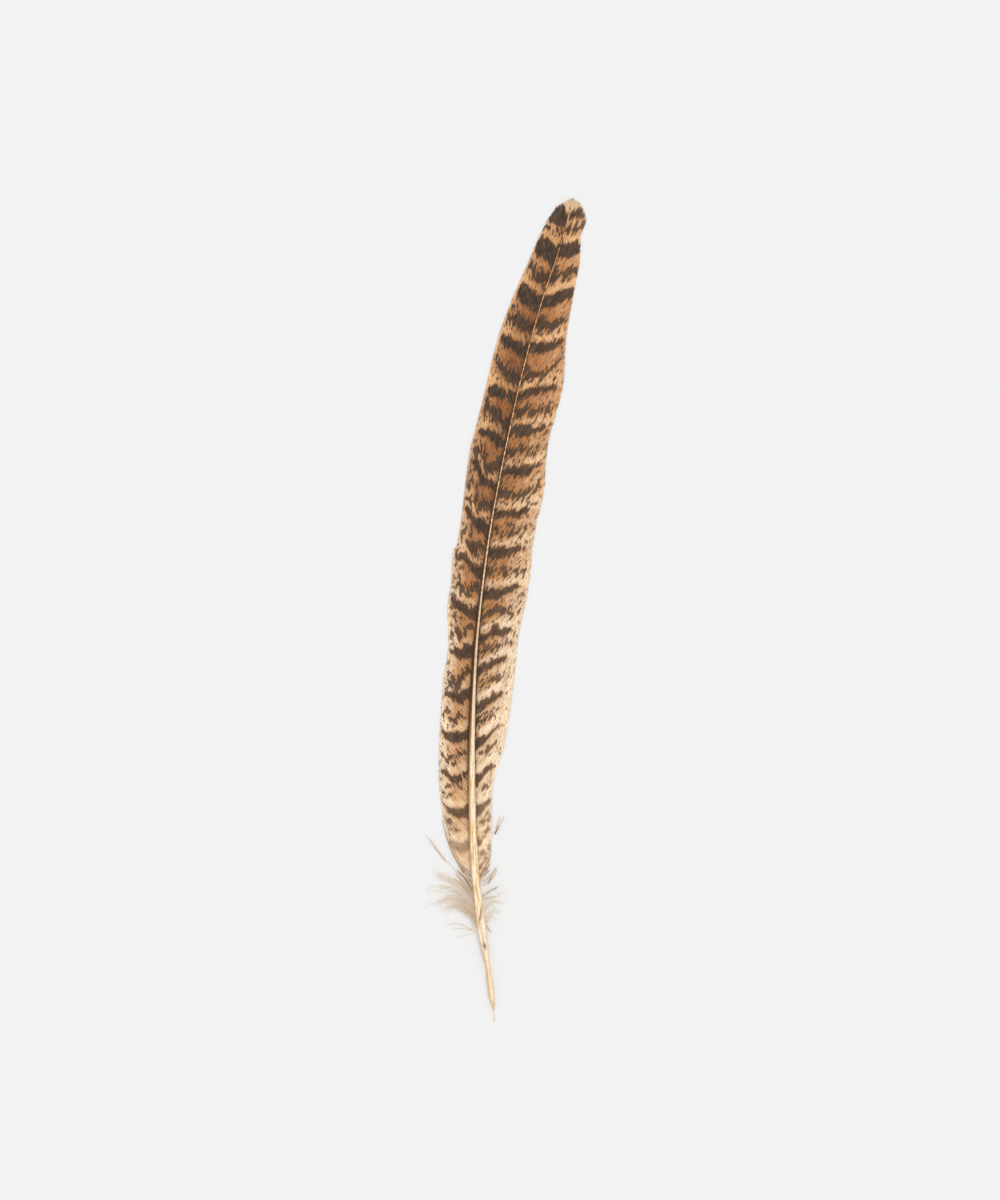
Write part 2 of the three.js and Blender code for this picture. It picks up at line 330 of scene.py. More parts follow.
def flatten_belly(piece):
    """Flattens the shaft where it rests on the surface, and leaves edit mode."""
    shape = bmesh.from_edit_mesh(piece.data)
    for vertex in shape.verts:
        y = vertex.co.y / MM
        vertex.select_set(bool(vertex.co.z < BELLY_SHARE * shaft_height(y) * MM))
    shape.select_flush(True)
    bpy.ops.transform.resize(value=(1, 1, 0), center_override=(0, 0, 0))
    bpy.ops.mesh.select_all(action="SELECT")
    bpy.ops.mesh.normals_make_consistent(inside=False)
    bpy.ops.object.mode_set(mode="OBJECT")


def cut_groove(mesh):
    """Sinks the groove into the shaft's upper half, and keeps SHAFT_FIELDS for its material."""
    points = mesh_points(mesh)
    fields = quill_fields(points)
    upper_half = points[:, 2] > shaft_height(points[:, 1]) / 2
    points[:, 2] -= GROOVE_DEPTH * fields["groove"] * upper_half
    mesh.vertices.foreach_set("co", (points * MM).reshape(-1))
    for name in SHAFT_FIELDS:
        store(mesh, name, fields[name])


# ---- Vanes --------------------------------------------------------------------------------------

# Tables of one vane are (Y, value). spread and lean are how far a barb goes sideways for each millimetre
# along the shaft, where it leaves the shaft and where it ends, and bend is the distance over which it turns
# from one to the other. cover is half the depth of a barb over the pitch, so barbs stand apart below 0.5.
# loose is the length of shaft at the base whose barbs stand LOOSE_GAP times as far apart. fray is how far
# the ends of the barbs differ, as a share of their length, and split how far groups of ends draw together.
# pale is how much of the ground is cream, beside the shaft and at the outer edge, margin is the share of
# the way out where the one turns into the other, flash adds cream above each bar, and streaky is how much
# the cream differs from streak to streak. warm is how rufous the ground gets under a bar, shade how much
# darker the ground is, and dust how thickly flecks are strewn. bold is the strength of the bars, fade how
# much of it they lose at the edge, thin how much thinner the mottles are there in millimetres, rim how pale
# and free of bars the edge is, crisp how sharp and ragged the edges of the bars are, and
# root_brown_and_shadow the strength of the brown beside the shaft, which is the barbs' brown roots with the
# shaft's shadow painted over them. grain is how fast the streaks change from barb to barb, and far how much
# slower that gets far out. weave is how clearly the barbules' herringbone shows.
VANES = {
    LEFT: {
        "node": "vane_left",
        "bars": LEFT_BARS,
        "mottles": LEFT_MOTTLES + [[fleck] for fleck in LEFT_FLECKS],
        "spots": LEFT_SPOTS,
        "spread": [
            (-79, 1.45), (-76, 1.1), (-72, 0.9), (-62, 0.75), (-24, 0.66), (0, 0.6), (20, 0.5), (45, 0.42),
            (105, 0.46), (116, 0.35), (121, 0.02),
        ],
        "lean": [
            (-79, 0.25), (-55, 0.32), (-24, 0.32), (0, 0.22), (30, 0.14), (90, 0.16), (116, 0.2), (121, 0),
        ],
        "bend": [(-79, 12), (-24, 14), (10, 11), (40, 10), (122, 10)],
        "cover": [(-79, 0.45), (-77, 0.7), (-74, 0.8), (122, 0.75)],
        "margin": (0.45, 0.85),
        "pale_inner": [
            (-79, 0.7), (-66, 0.45), (-55, 0.28), (-40, 0.18), (0, 0.05), (95, 0.1), (110, 0.4), (116, 0.5),
            (121, 0.95),
        ],
        "pale_outer": [
            (-79, 1), (-20, 0.95), (0, 0.8), (20, 0.6), (40, 0.4), (80, 0.35), (105, 0.5), (123, 0.8),
        ],
        "streaky": [(-79, 0.4), (-40, 0.6), (0, 0.8), (60, 0.9), (110, 0.8), (123, 1.3)],
        "thin": [(-79, 0.5), (-30, 0.6), (10, 0.6), (40, 0.3), (123, 0)],
        "flash": 0.35,
        "shade": [(-79, 0), (-60, 0.22), (-40, 0.3), (0, 0.3), (40, 0.6), (80, 0.8), (105, 0.5), (123, 0.1)],
        "dust_inner": [
            (-75, 0), (-60, 0.1), (-30, 0.45), (0, 0.75), (20, 0.8), (60, 0.7), (95, 0.5), (123, 0.2),
        ],
        "dust_outer": [
            (-75, 0.2), (-60, 0.65), (-30, 0.85), (0, 1), (40, 1), (80, 0.75), (105, 0.5), (123, 0.3),
        ],
        "warm": [(-70, 0.1), (-40, 0.25), (0, 0.65), (40, 0.9), (95, 0.9), (110, 0.6), (123, 0.3)],
        "bold": [(-76, 0.3), (-70, 0.45), (-65, 0.75), (-58, 0.88), (-45, 0.97), (123, 1)],
        "crisp": [(-79, 0.55), (-72, 0.6), (-65, 0.85), (-35, 0.95), (-10, 1), (123, 1)],
        "root_brown_and_shadow": [
            (-79, 0.4), (-60, 0.65), (-40, 1.1), (-15, 1.1), (0, 0.8), (60, 0.75), (100, 0.4), (123, 0.2),
        ],
        "fray": [(-79, 0.05), (-40, 0.015), (60, 0.008), (105, 0.006), (116, 0.02), (123, 0.03)],
        "split": [(-79, 0.4), (-68, 0.15), (-40, 0.1), (123, 0.1)],
        "grain": [(-79, 0.9), (-20, 0.9), (20, 0.8), (60, 0.65), (122, 0.6)],
        "far": 1,
        "fade": [(-79, 0.15), (-40, 0.12), (0, 0.08), (30, 0)],
        "loose": 1.4,
        "rim": [(-79, 1), (100, 1), (113, 0.1), (123, 0)],
        "weave": 1,
        "seed": 11,
    },
    RIGHT: {
        "node": "vane_right",
        "bars": RIGHT_BARS,
        "mottles": RIGHT_MOTTLES + [[fleck] for fleck in RIGHT_FLECKS],
        "spots": RIGHT_SPOTS,
        "spread": [
            (-80.8, 1.2), (-76, 0.85), (-60, 0.7), (10, 0.7), (50, 0.58), (95, 0.52), (105, 0.45), (116, 0.3),
            (121, 0.02),
        ],
        "lean": [
            (-80.8, 0.1), (-60, 0.25), (-20, 0.38), (10, 0.38), (50, 0.22), (95, 0.2), (105, 0.14),
            (121, 0),
        ],
        "bend": [(-80.8, 8), (122, 10)],
        "cover": [(-80.8, 0.55), (-78, 0.6), (-74, 0.7), (-58, 0.75), (122, 0.75)],
        "margin": (0.25, 0.8),
        "pale_inner": [
            (-80, 1), (-60, 0.95), (-50, 0.8), (-35, 0.6), (-20, 0.35), (-5, 0.1), (10, 0), (95, 0.05),
            (110, 0.4), (116, 0.5), (121, 0.95),
        ],
        "pale_outer": [(-80, 1), (-10, 0.95), (20, 0.7), (60, 0.5), (90, 0.45), (110, 0.6), (123, 0.8)],
        "streaky": [(-80, 1), (-40, 1.2), (0, 1.3), (40, 1.3), (90, 0.9), (123, 1.3)],
        "thin": [(-80, 1.2), (-20, 1), (20, 0.7), (90, 0.5), (123, 0)],
        "flash": 0.65,
        "shade": [(-80, 0), (-20, 0.1), (10, 0.25), (60, 0.15), (123, 0)],
        "dust_inner": [(-80, 0.4), (-40, 0.45), (0, 0.8), (60, 0.82), (105, 0.4), (123, 0.2)],
        "dust_outer": [(-80, 0.65), (-40, 0.6), (-20, 0.7), (0, 0.85), (80, 0.85), (100, 0.7), (123, 0.3)],
        "warm": [(-70, 0.2), (-40, 0.3), (0, 0.55), (30, 0.7), (60, 0.8), (95, 0.8), (110, 0.5), (123, 0.3)],
        "bold": [(-80, 0.5), (-70, 0.6), (-62, 0.75), (-50, 0.95), (123, 1)],
        "crisp": [(-80, 0.7), (-60, 0.75), (-35, 0.9), (-10, 1), (123, 1)],
        "root_brown_and_shadow": [(-80, 0.4), (-55, 0.5), (-38, 0.95), (-10, 1.15), (30, 1), (60, 0.75), (123, 0.2)],
        "fray": [(-80, 0.05), (-40, 0.02), (30, 0.012), (60, 0.012), (95, 0.01), (123, 0.02)],
        "split": [(-80, 0.4), (-50, 0.2), (30, 0.15), (60, 0.12), (123, 0.1)],
        "grain": [(-80, 1), (20, 1), (60, 0.8), (122, 0.7)],
        "far": 0.7,
        "fade": [(-80, 0.3), (-30, 0.2), (20, 0.1), (110, 0.08), (123, 0.25)],
        "loose": 0,
        "rim": [(-80, 0.7), (0, 0.6), (50, 0.4), (80, 0.1), (123, 0)],
        "weave": 0.35,
        "seed": 23,
    },
}
LOOSE_GAP = 2.3
ROOT_SHADOW_WIDTH = 0.6  # distance from the shaft in which the brown beside it fades: the barb roots' brown with the shaft's shadow painted over it
FAR_RATE = 0.5  # share of its rate from barb to barb that a noise keeps far out
RIM_SPAN = [(0.9, 0), (0.98, 1)]  # share of the way out, and how much of the rim is there
RIM_GAP, RIM_CREAM, RIM_FADE = 3, 0.8, 0.9  # how the rim moves marks back, adds cream and clears marks
SHADE_FADE = 0.9  # share of the shade that the outer part of a vane loses
NOISE_APART = 50.0  # distance between the two vanes and the middle of the noise, in its own cycles
# Two sets of lines cross over the vanes: distance between lines, and how far they go out for each
# millimetre up. HERRINGBONE is how clearly they show, as (Y, value).
LATTICE = [(0.75, 0.68), (0.88, -1.1)]
HERRINGBONE = [(-78, 0), (-66, 0.8), (-25, 1), (0, 0.9), (40, 0.8), (90, 0.6)]

# Places where neighbouring barbs have come unzipped: vane, out from the shaft, Y, length along the barbs,
# width.
SLITS = [
    (LEFT, 3.1, 121.9, 1.5, 0.3),
    (LEFT, 2.15, 122.1, 1.5, 0.25),
    (LEFT, 7.8, 78.5, 12, 0.16),
    (LEFT, 5.1, 66.5, 20, 0.14),
    (LEFT, 5.9, 67.0, 1.6, 0.5),
    (RIGHT, 6.6, -5.5, 6, 0.2),
    (RIGHT, 3.6, 58, 8, 0.1),
]

BARB_RIDGE = 0.07  # height of a barb's ridge over its sides
BARB_LIFT = 0.25  # how much the ends of barbs differ in height, as a share of their ridge
BARB_TAPER = [(0, 1), (0.96, 0.9), (1, 0.25)]  # share of the way along a barb, and of its full depth
FULL_HALF = 0.19  # half the width that a barb shows where its ridge has its full height
LEAST_HALF = 0.07  # and the least that it shows anywhere
LONGEST_BARB = 120.0
HALVINGS = 40  # how often the span is halved that holds the length at which a barb meets the vane's edge
REACH_PLACES = 2000
LEAST_STEP = 0.001  # least step along Y from one place of a barb to the next
GROUP_SIZES = (7, 22)  # how many barbs lean together
LEAST_PULL = 0.3  # share of the split that the most even group shows
SPLIT_RISE = 5  # power of the way along a barb by which it leans: only its end leans much
SLIT_SPREAD = 5  # how many barbs on each side a slit pushes away
SLIT_ALONG = 0.3  # how much distance along Y counts in finding the barb nearest to a slit
ROOT_HEIGHT = 0.62  # where barbs leave the shaft, as a share of its height
ROOT_DEPTH = 0.1  # how far barbs reach into the shaft
ROOT_FALL = 1.3  # power by which a vane falls from the shaft
VANE_CROWN = 0.3
WAVES = [(5.3, 1), (3.1, 2.2), (8.7, 0)]  # lengths of a vane's waves over 2 pi, and how the two vanes differ
WAVE_HEIGHT = 0.025
EDGE_HEIGHT = 0.1
FLOOR_GAP = 0.03
TIP_CLOSING = 0.4  # distance above a vane's last section in which it closes
LEAST_REACH = 0.3  # least width of a vane that shares of the way out are measured on


def vane_reach(y, side):
    """Distance from the shaft's middle to the outer edge of a vane. It closes just above the tip."""
    stations, lowest, highest, _ = loft_sections(VANES[side]["node"])
    edge = np.abs((lowest if side == LEFT else highest) - shaft_middle(stations))
    return np.interp(y, np.append(stations, stations[-1] + TIP_CLOSING), np.append(edge, 0))


def grow_barbs(side, pitch, segments):
    """Middle lines of a vane's barbs: distance out from the shaft's middle and Y, one row a barb."""
    vane = VANES[side]
    rng = np.random.default_rng(vane["seed"])
    foot = loft_sections(vane["node"])[0][0]
    zipped = foot + vane["loose"]
    roots = np.append(np.arange(foot, zipped, LOOSE_GAP * pitch), np.arange(zipped, SHAFT_TIP, pitch))
    spread, lean, bend = (curve(vane[name], roots) for name in ("spread", "lean", "bend"))
    start = shaft_half(roots) - ROOT_DEPTH

    def out(v, pick=slice(None)):
        turned = (spread - lean)[pick] * bend[pick] * (1 - np.exp(-v / bend[pick]))
        return start[pick] + lean[pick] * v + turned

    reach_at = np.linspace(foot - 1, SHAFT_TIP + 4, REACH_PLACES)
    reach = vane_reach(reach_at, side)
    # The length at which each barb meets the vane's edge is found by halving.
    shortest, longest = np.zeros(len(roots)), np.full(len(roots), LONGEST_BARB)
    for _ in range(HALVINGS):
        middle = (shortest + longest) / 2
        beyond = out(middle) > np.interp(roots + middle, reach_at, reach)
        longest = np.where(beyond, middle, longest)
        shortest = np.where(beyond, shortest, middle)
    length = shortest * (1 - np.abs(rng.normal(0, 1, len(roots))) * curve(vane["fray"], roots + shortest))
    share = np.linspace(0, 1, segments + 1)
    v = length[:, None] * share
    barbs = {"out": out(v, (slice(None), None)), "y": roots[:, None] + v, "length": length, "roots": roots}

    # The vane parts into groups of barbs that lean together at their ends.
    number = 0
    shift = np.zeros(len(roots))
    while number < len(roots):
        group = np.arange(number, min(number + rng.integers(*GROUP_SIZES), len(roots)))
        pull = curve(vane["split"], roots[group] + length[group]) * rng.uniform(LEAST_PULL, 1)
        shift[group] = -pull * (group - group.mean()) * pitch
        number = group[-1] + 1
    barbs["y"] = barbs["y"] + shift[:, None] * share**SPLIT_RISE

    for slit_side, *slit in SLITS:
        if slit_side == side:
            open_slit(barbs, *slit)
    return barbs


def open_slit(barbs, slit_out, slit_y, slit_length, width):
    """Pushes the barbs on the two sides of a slit apart, most at its middle."""
    # The barb nearest to the slit is the one that passes it sideways, so distance along Y counts less.
    miss = np.hypot(barbs["out"] - slit_out, (barbs["y"] - slit_y) * SLIT_ALONG)
    number, _ = np.unravel_index(miss.argmin(), miss.shape)
    along = (barbs["y"] - slit_y) / (slit_length / 2)
    opening = np.clip(1 - along**2, 0, 1)
    rows = np.arange(len(barbs["out"]))[:, None] - number - 0.5
    reach = np.exp(-np.abs(rows) / SLIT_SPREAD)
    barbs["out"] = barbs["out"] - np.sign(rows) * opening * reach * width / 2


def vane_height(y, share, side):
    """Height of a vane's upper face: from the shaft's side to the surface, low-crowned and wavy."""
    waves = sum(np.sin(y / length + turn * side) for length, turn in WAVES)
    across = np.clip(share, 0, 1)
    root = ROOT_HEIGHT * shaft_height(y) - EDGE_HEIGHT
    wave = WAVE_HEIGHT * (waves + len(WAVES)) * across**2
    crown = VANE_CROWN * np.sin(math.pi * across)
    return np.maximum(root, 0) * (1 - across) ** ROOT_FALL + crown + EDGE_HEIGHT + wave


def ribbon_points(side, barbs, share, pitch):
    """Three points at each place of each barb: its low side, its ridge and its high side."""
    vane = VANES[side]
    out, y = barbs["out"], barbs["y"]
    along = np.linspace(0, 1, out.shape[1])
    narrowing = curve(BARB_TAPER, along)
    depth = curve(vane["cover"], barbs["roots"])[:, None] * pitch
    # Barbs that run nearly along the shaft stand close together, and there each covers a part of the next.
    openness = np.gradient(out, axis=1) / np.maximum(np.gradient(y, axis=1), LEAST_STEP)
    half_seen = np.maximum(depth * openness, LEAST_HALF)
    widening = (half_seen - depth * openness) * narrowing
    ridge = BARB_RIDGE * np.minimum(half_seen / FULL_HALF, 1)
    rng = np.random.default_rng(vane["seed"] + 1)
    lift = rng.normal(0, BARB_LIFT, len(out))[:, None] * along * ridge
    middle = vane_height(y, share, side)
    points = np.empty((*out.shape, 3, 3))
    for place, offset in enumerate((-1, 0, 1)):
        row_y = y + offset * depth * narrowing
        points[:, :, place, 0] = shaft_middle(row_y) + side * (out - offset * widening)
        points[:, :, place, 1] = row_y
        height = middle + lift - abs(offset) * ridge
        points[:, :, place, 2] = np.maximum(height, FLOOR_GAP + (1 - abs(offset)) * ridge / 2)
    return points.reshape(-1, 3)


def ribbon_faces(side, count, stations):
    """The two upper faces and the underside at each step along each barb, then the caps of the barbs."""
    first = (np.arange(count)[:, None] * stations + np.arange(stations - 1)) * 3
    order = [0, 1, 2] if side == RIGHT else [2, 1, 0]
    strips = [
        np.stack([first + b, first + a, first + 3 + a, first + 3 + b], axis=-1)
        for a, b in zip(order, order[1:] + order[:1])
    ]
    roots = np.arange(count)[:, None] * stations * 3
    ends = roots + (stations - 1) * 3
    sides = np.stack(strips, axis=2).reshape(-1, 4)
    return sides.tolist() + (roots + order).tolist() + (ends + order[::-1]).tolist()


def vane_fields(side, barbs, share):
    """Values of VANE_FIELDS at each place of each barb, all but the belly's."""
    vane = VANES[side]
    out, y = barbs["out"], barbs["y"]

    def at(name):
        return curve(vane[name], y)

    edge = np.clip(share, 0, 1)
    outer = curve([(vane["margin"][0], 0), (vane["margin"][1], 1)], edge)
    outer = outer * outer * (3 - 2 * outer)
    inner = 1 - outer
    rim = curve(RIM_SPAN, edge) * at("rim")
    steps = out / MARK_STEP, (MARK_TOP - y) / MARK_STEP
    phase = bar_phase(*steps, vane["bars"])
    ink = bar_field(*steps, vane["bars"] + vane["spots"]) * MARK_STEP
    blot = bar_field(*steps, vane["mottles"]) * MARK_STEP
    pale = at("pale_inner") * inner + at("pale_outer") * outer + vane["flash"] * curve(FLASH, phase)
    # The brown beside the shaft is the barbs' brown roots with the shaft's shadow painted over them.
    beside_shaft = np.exp(-np.maximum(out - shaft_half(y), 0) / ROOT_SHADOW_WIDTH)
    return {
        "ink": ink - RIM_GAP * rim,
        "blot": blot - RIM_GAP * rim - at("thin") * edge,
        "tatter": curve(TATTER, edge),
        "far": vane["far"] * edge,
        "streaky": at("streaky"),
        "honey": curve(HONEY, y),
        "bold": at("bold"),
        "crisp": at("crisp"),
        "warmth": curve(WARMTH, phase) * at("warm"),
        "cream": pale + RIM_CREAM * rim,
        "clear": 1 - RIM_FADE * rim - at("fade") * edge,
        "dust": at("dust_inner") * inner + at("dust_outer") * outer,
        "shade": at("shade") * (1 - SHADE_FADE * outer),
        "root_brown_and_shadow": beside_shaft * at("root_brown_and_shadow"),
        "weave": curve(HERRINGBONE, y) * vane["weave"],
    }


def build_vane(side, sizes):
    """Mesh of one vane. Each barb is a closed ribbon with a ridge."""
    vane = VANES[side]
    pitch = sizes.barb_pitch / MM
    barbs = grow_barbs(side, pitch, sizes.barb_segments)
    out, y = barbs["out"], barbs["y"]
    count, stations = out.shape
    half = shaft_half(y)
    share = (out - half) / np.maximum(vane_reach(y, side) - half, LEAST_REACH)
    points = ribbon_points(side, barbs, share, pitch)
    mesh = bpy.data.meshes.new(vane["node"])
    mesh.from_pydata((points * MM).tolist(), [], ribbon_faces(side, count, stations))

    for name, field in vane_fields(side, barbs, share).items():
        store(mesh, name, np.repeat(field.reshape(-1), 3))
    # Noise follows the strands: the barb's number, and the distance along it, measured square to the steps
    # from one barb to the next. The two vanes lie far apart in the noise.
    numbers = np.broadcast_to(np.cumsum(curve(vane["grain"], barbs["roots"]))[:, None], out.shape)
    ways = y + out * (curve(vane["spread"], y) + curve(vane["lean"], y)) / 2
    strand = np.stack([numbers, ways, np.full(out.shape, NOISE_APART * side)], axis=-1)
    lattice = np.zeros((*out.shape, 3))
    for axis, (spacing, way) in enumerate(LATTICE):
        lattice[..., axis] = (out - way * y) / (spacing * math.hypot(1, way)) * math.tau
    for name, field in (("strand", strand), ("lattice", lattice)):
        store(mesh, name, np.repeat(field.reshape(-1, 3), 3, axis=0))
    under = np.tile([0, 0, 1.0], count * (stations - 1))
    store(mesh, "belly", np.append(under, np.zeros(2 * count)), domain="FACE")
    lay_out_barbs(mesh, count, stations)
    return mesh


def lay_out_barbs(mesh, count, stations):
    """UV map with one row for each barb: its upper face on the left and its underside on the right."""
    top_end, under_start, gap = 0.62, 0.64, 0.05
    row = np.arange(count)[:, None] / count
    near = np.arange(stations - 1) / (stations - 1)
    far = near + 1 / (stations - 1)
    bands = [(0, 0.5, 0, top_end), (0.5, 1, 0, top_end), (1, 0, under_start, 1)]
    corners = np.empty((count, stations - 1, 3, 4, 2))
    for band, (low, high, left, right) in enumerate(bands):
        for corner, (across, end) in enumerate(((high, near), (low, near), (low, far), (high, far))):
            corners[:, :, band, corner, 0] = left + (right - left) * end
            corners[:, :, band, corner, 1] = row + (gap + (1 - 2 * gap) * across) / count
    middle = (top_end + under_start) / 2
    caps = np.repeat(np.stack([np.full(2 * count, middle), np.tile(row[:, 0], 2)], axis=-1), 3, axis=0)
    layout = mesh.uv_layers.new(name="OFBake")
    layout.uv.foreach_set("vector", np.concatenate([corners.reshape(-1), caps.reshape(-1)]))


# ---- Fibres -------------------------------------------------------------------------------------

STEEP = 0.9  # upward part of a fibre's way above which its section is turned by X instead of Z


def fibre_arrays(lines, radii):
    """Vertices and faces of pointed three-sided fibres: for each, a line, and a radius at all but its end."""
    count, places, _ = lines.shape
    tangent = np.gradient(lines, axis=1)
    tangent /= np.linalg.norm(tangent, axis=2, keepdims=True) + TINY
    reference = np.where(np.abs(tangent[..., 2:3]) > STEEP, [1.0, 0, 0], [0, 0, 1.0])
    sideways = np.cross(tangent, reference)
    sideways /= np.linalg.norm(sideways, axis=2, keepdims=True) + TINY
    upward = np.cross(sideways, tangent)
    rings = []
    for turn in range(3):
        angle = math.tau * turn / 3 + math.pi / 2
        ray = math.cos(angle) * sideways[:, :-1] + math.sin(angle) * upward[:, :-1]
        rings.append(lines[:, :-1] + ray * radii[..., None])
    ring_points = np.stack(rings, axis=2).reshape(count, -1, 3)
    points = np.concatenate([ring_points, lines[:, -1:]], axis=1)
    size = points.shape[1]
    faces = [(2, 1, 0)]
    for place in range(places - 2):
        for turn in range(3):
            a, b = place * 3 + turn, place * 3 + (turn + 1) % 3
            faces.append((a, b, b + 3))
            faces.append((a, b + 3, a + 3))
    last = (places - 2) * 3
    faces += [(last + turn, last + (turn + 1) % 3, size - 1) for turn in range(3)]
    all_faces = np.array(faces)[None] + (np.arange(count) * size)[:, None, None]
    return points.reshape(-1, 3), all_faces.reshape(-1, 3)


def fibre_mesh(name, groups):
    """One mesh from groups of (lines, radii, tint), with each fibre's tint and its share from root to tip."""
    points, faces, tints, shares = [], [], [], []
    total = 0
    for lines, radii, tint in groups:
        group_points, group_faces = fibre_arrays(lines, radii)
        places = lines.shape[1]
        share = np.append(np.repeat(np.linspace(0, 1, places)[:-1], 3), 1)
        points.append(group_points)
        faces.append(group_faces + total)
        tints.append(np.repeat(tint, len(share)))
        shares.append(np.tile(share, len(lines)))
        total += len(group_points)
    mesh = bpy.data.meshes.new(name)
    mesh.from_pydata((np.concatenate(points) * MM).tolist(), [], np.concatenate(faces).tolist())
    store(mesh, "tint", np.concatenate(tints))
    store(mesh, "along", np.concatenate(shares))
    return mesh


def bezier(start, middle, end, places):
    """Places on the smooth curve from each start to each end that passes each middle halfway."""
    control = 2 * middle - (start + end) / 2
    t = np.linspace(0, 1, places)[None, :, None]
    return (1 - t) ** 2 * start[:, None] + 2 * t * (1 - t) * control[:, None] + t**2 * end[:, None]


# ---- Down ---------------------------------------------------------------------------------------

# Guides of the tufts: root, middle and end of a down barb, in steps of MARK_STEP right of X = 0 and down from
# MARK_TOP.
LEFT_GUIDES = [
    [(-37, 696), (-56, 681), (-83, 669)],
    [(-36, 702), (-58, 685), (-79, 675)],
    [(-36, 708), (-58, 691), (-82, 686)],
    [(-35, 714), (-57, 697), (-88, 694)],
    [(-34, 720), (-56, 700), (-88, 703)],
    [(-33, 726), (-50, 706), (-69, 708)],
    [(-32, 731), (-43, 715), (-57, 707)],
    [(-31, 735), (-39, 724), (-43, 714)],
]
RIGHT_GUIDES = [
    [(-31, 698), (-20, 690), (-8, 683)],
    [(-30, 704), (-19, 696), (-3, 691)],
    [(-30, 709), (-19, 700), (-6, 698)],
    [(-30, 714), (-20, 705), (-12, 704)],
    [(-29, 720), (-21, 712), (-14, 709)],
    [(-28, 725), (-23, 719), (-19, 717)],
]
TUFTS = {
    "down_left": {"guides": LEFT_GUIDES, "fill": 1.0, "seed": 31},
    "down_right": {"guides": RIGHT_GUIDES, "fill": 0.42, "seed": 37},
}
# Sizes are in millimetres, and pairs are the least and the most of what differs from barb to barb.
LOCK_PULL, LOCK_STRAY = 0.15, 0.08  # how far barbs gather to the guides and stray from them, in guides
LENGTH_SHARES = (0.6, 1.08)  # length of a barb over its guide's
MIDDLE_STRAY, END_STRAY = 0.3, 0.5
ROOT_SHARES = (0.4, 0.95)  # height of its root, as a share of the shaft's
MIDDLE_HEIGHTS = (0.4, 1.1)
END_HEIGHTS = (0.15, 0.9)
SWAY = 0.14
DOWN_PLACES = 10
DOWN_BARB_RADIUS = 0.075
DOWN_BARB_TIP = 0.35  # share of its radius that it keeps at its end
DOWN_GAP = 0.02  # least gap between a barb and the surface
BARBULE_SPAN = (0.01, 0.97)  # share of the way along a barb where its barbules stand
BARBULE_STRAY = 0.004
BARBULE_SPLAY = (0.15, 0.8)  # how far barbules stand out sideways, over how far they run along the barb
BARBULE_RISE = 0.35
BARBULE_LENGTH = 1.7
BARBULE_SHARES = (0.5, 1.2)
BARBULE_LEAN, BARBULE_CURL = 0.2, 0.3  # how its end bends along the barb, as a share of it, and any way
BARBULE_RADII = (0.024, 0.0168)  # at its root and its middle
BARBULE_FLOOR = 0.03


def step_place(place):
    """Millimetres of a place given in steps right of X = 0 and down from MARK_TOP."""
    return np.array([place[0] * MARK_STEP, MARK_TOP - place[1] * MARK_STEP])


def build_tuft(name, sizes):
    """Mesh of one tuft: curved down barbs between the guides, each feathered on both sides with barbules."""
    tuft = TUFTS[name]
    rng = np.random.default_rng(tuft["seed"])
    guides = np.array([[step_place(place) for place in guide] for guide in tuft["guides"]])
    count = round(sizes.barbs_in_tuft * tuft["fill"])
    barbs = lay_barbs(rng, guides, count)
    taper = np.linspace(1, DOWN_BARB_TIP, DOWN_PLACES - 1)
    groups = [(barbs, np.tile(DOWN_BARB_RADIUS * taper, (count, 1)), rng.uniform(0, 1, count))]
    each = round(sizes.barbules_on_barb * tuft["fill"] ** 0.5)
    barbules = lay_barbules(rng, barbs, each)
    radii = np.tile(BARBULE_RADII, (len(barbules), 1))
    groups.append((barbules, radii, np.repeat(rng.uniform(0, 1, count), each)))
    return fibre_mesh(name, groups)


def lay_barbs(rng, guides, count):
    """Middle lines of down barbs, gathered into locks round the guides."""
    at = np.linspace(0, len(guides) - 1, count)
    at = at - LOCK_PULL * np.sin(math.tau * at) + rng.normal(0, LOCK_STRAY, count)
    at = np.clip(at, 0, len(guides) - 1.001)
    low = at.astype(int)
    mix = (at - low)[:, None, None]
    lines = guides[low] * (1 - mix) + guides[low + 1] * mix
    shorten = rng.uniform(*LENGTH_SHARES, count)[:, None]
    lines[:, 1] = lines[:, 0] + (lines[:, 1] - lines[:, 0]) * shorten**0.5
    lines[:, 2] = lines[:, 0] + (lines[:, 2] - lines[:, 0]) * shorten
    lines[:, 1] += rng.normal(0, MIDDLE_STRAY, (count, 2))
    lines[:, 2] += rng.normal(0, END_STRAY, (count, 2))
    roots = shaft_height(lines[:, 0, 1]) * rng.uniform(*ROOT_SHARES, count)
    heights = [roots, rng.uniform(*MIDDLE_HEIGHTS, count), rng.uniform(*END_HEIGHTS, count)]
    full = np.concatenate([lines, np.stack(heights, axis=-1)[..., None]], axis=-1)
    barbs = bezier(full[:, 0], full[:, 1], full[:, 2], DOWN_PLACES)
    sway = np.cumsum(rng.normal(0, SWAY, barbs.shape), axis=1)
    barbs = barbs + sway * np.linspace(0, 1, DOWN_PLACES)[None, :, None]
    barbs[..., 2] = np.maximum(barbs[..., 2], DOWN_BARB_RADIUS + DOWN_GAP)
    return barbs


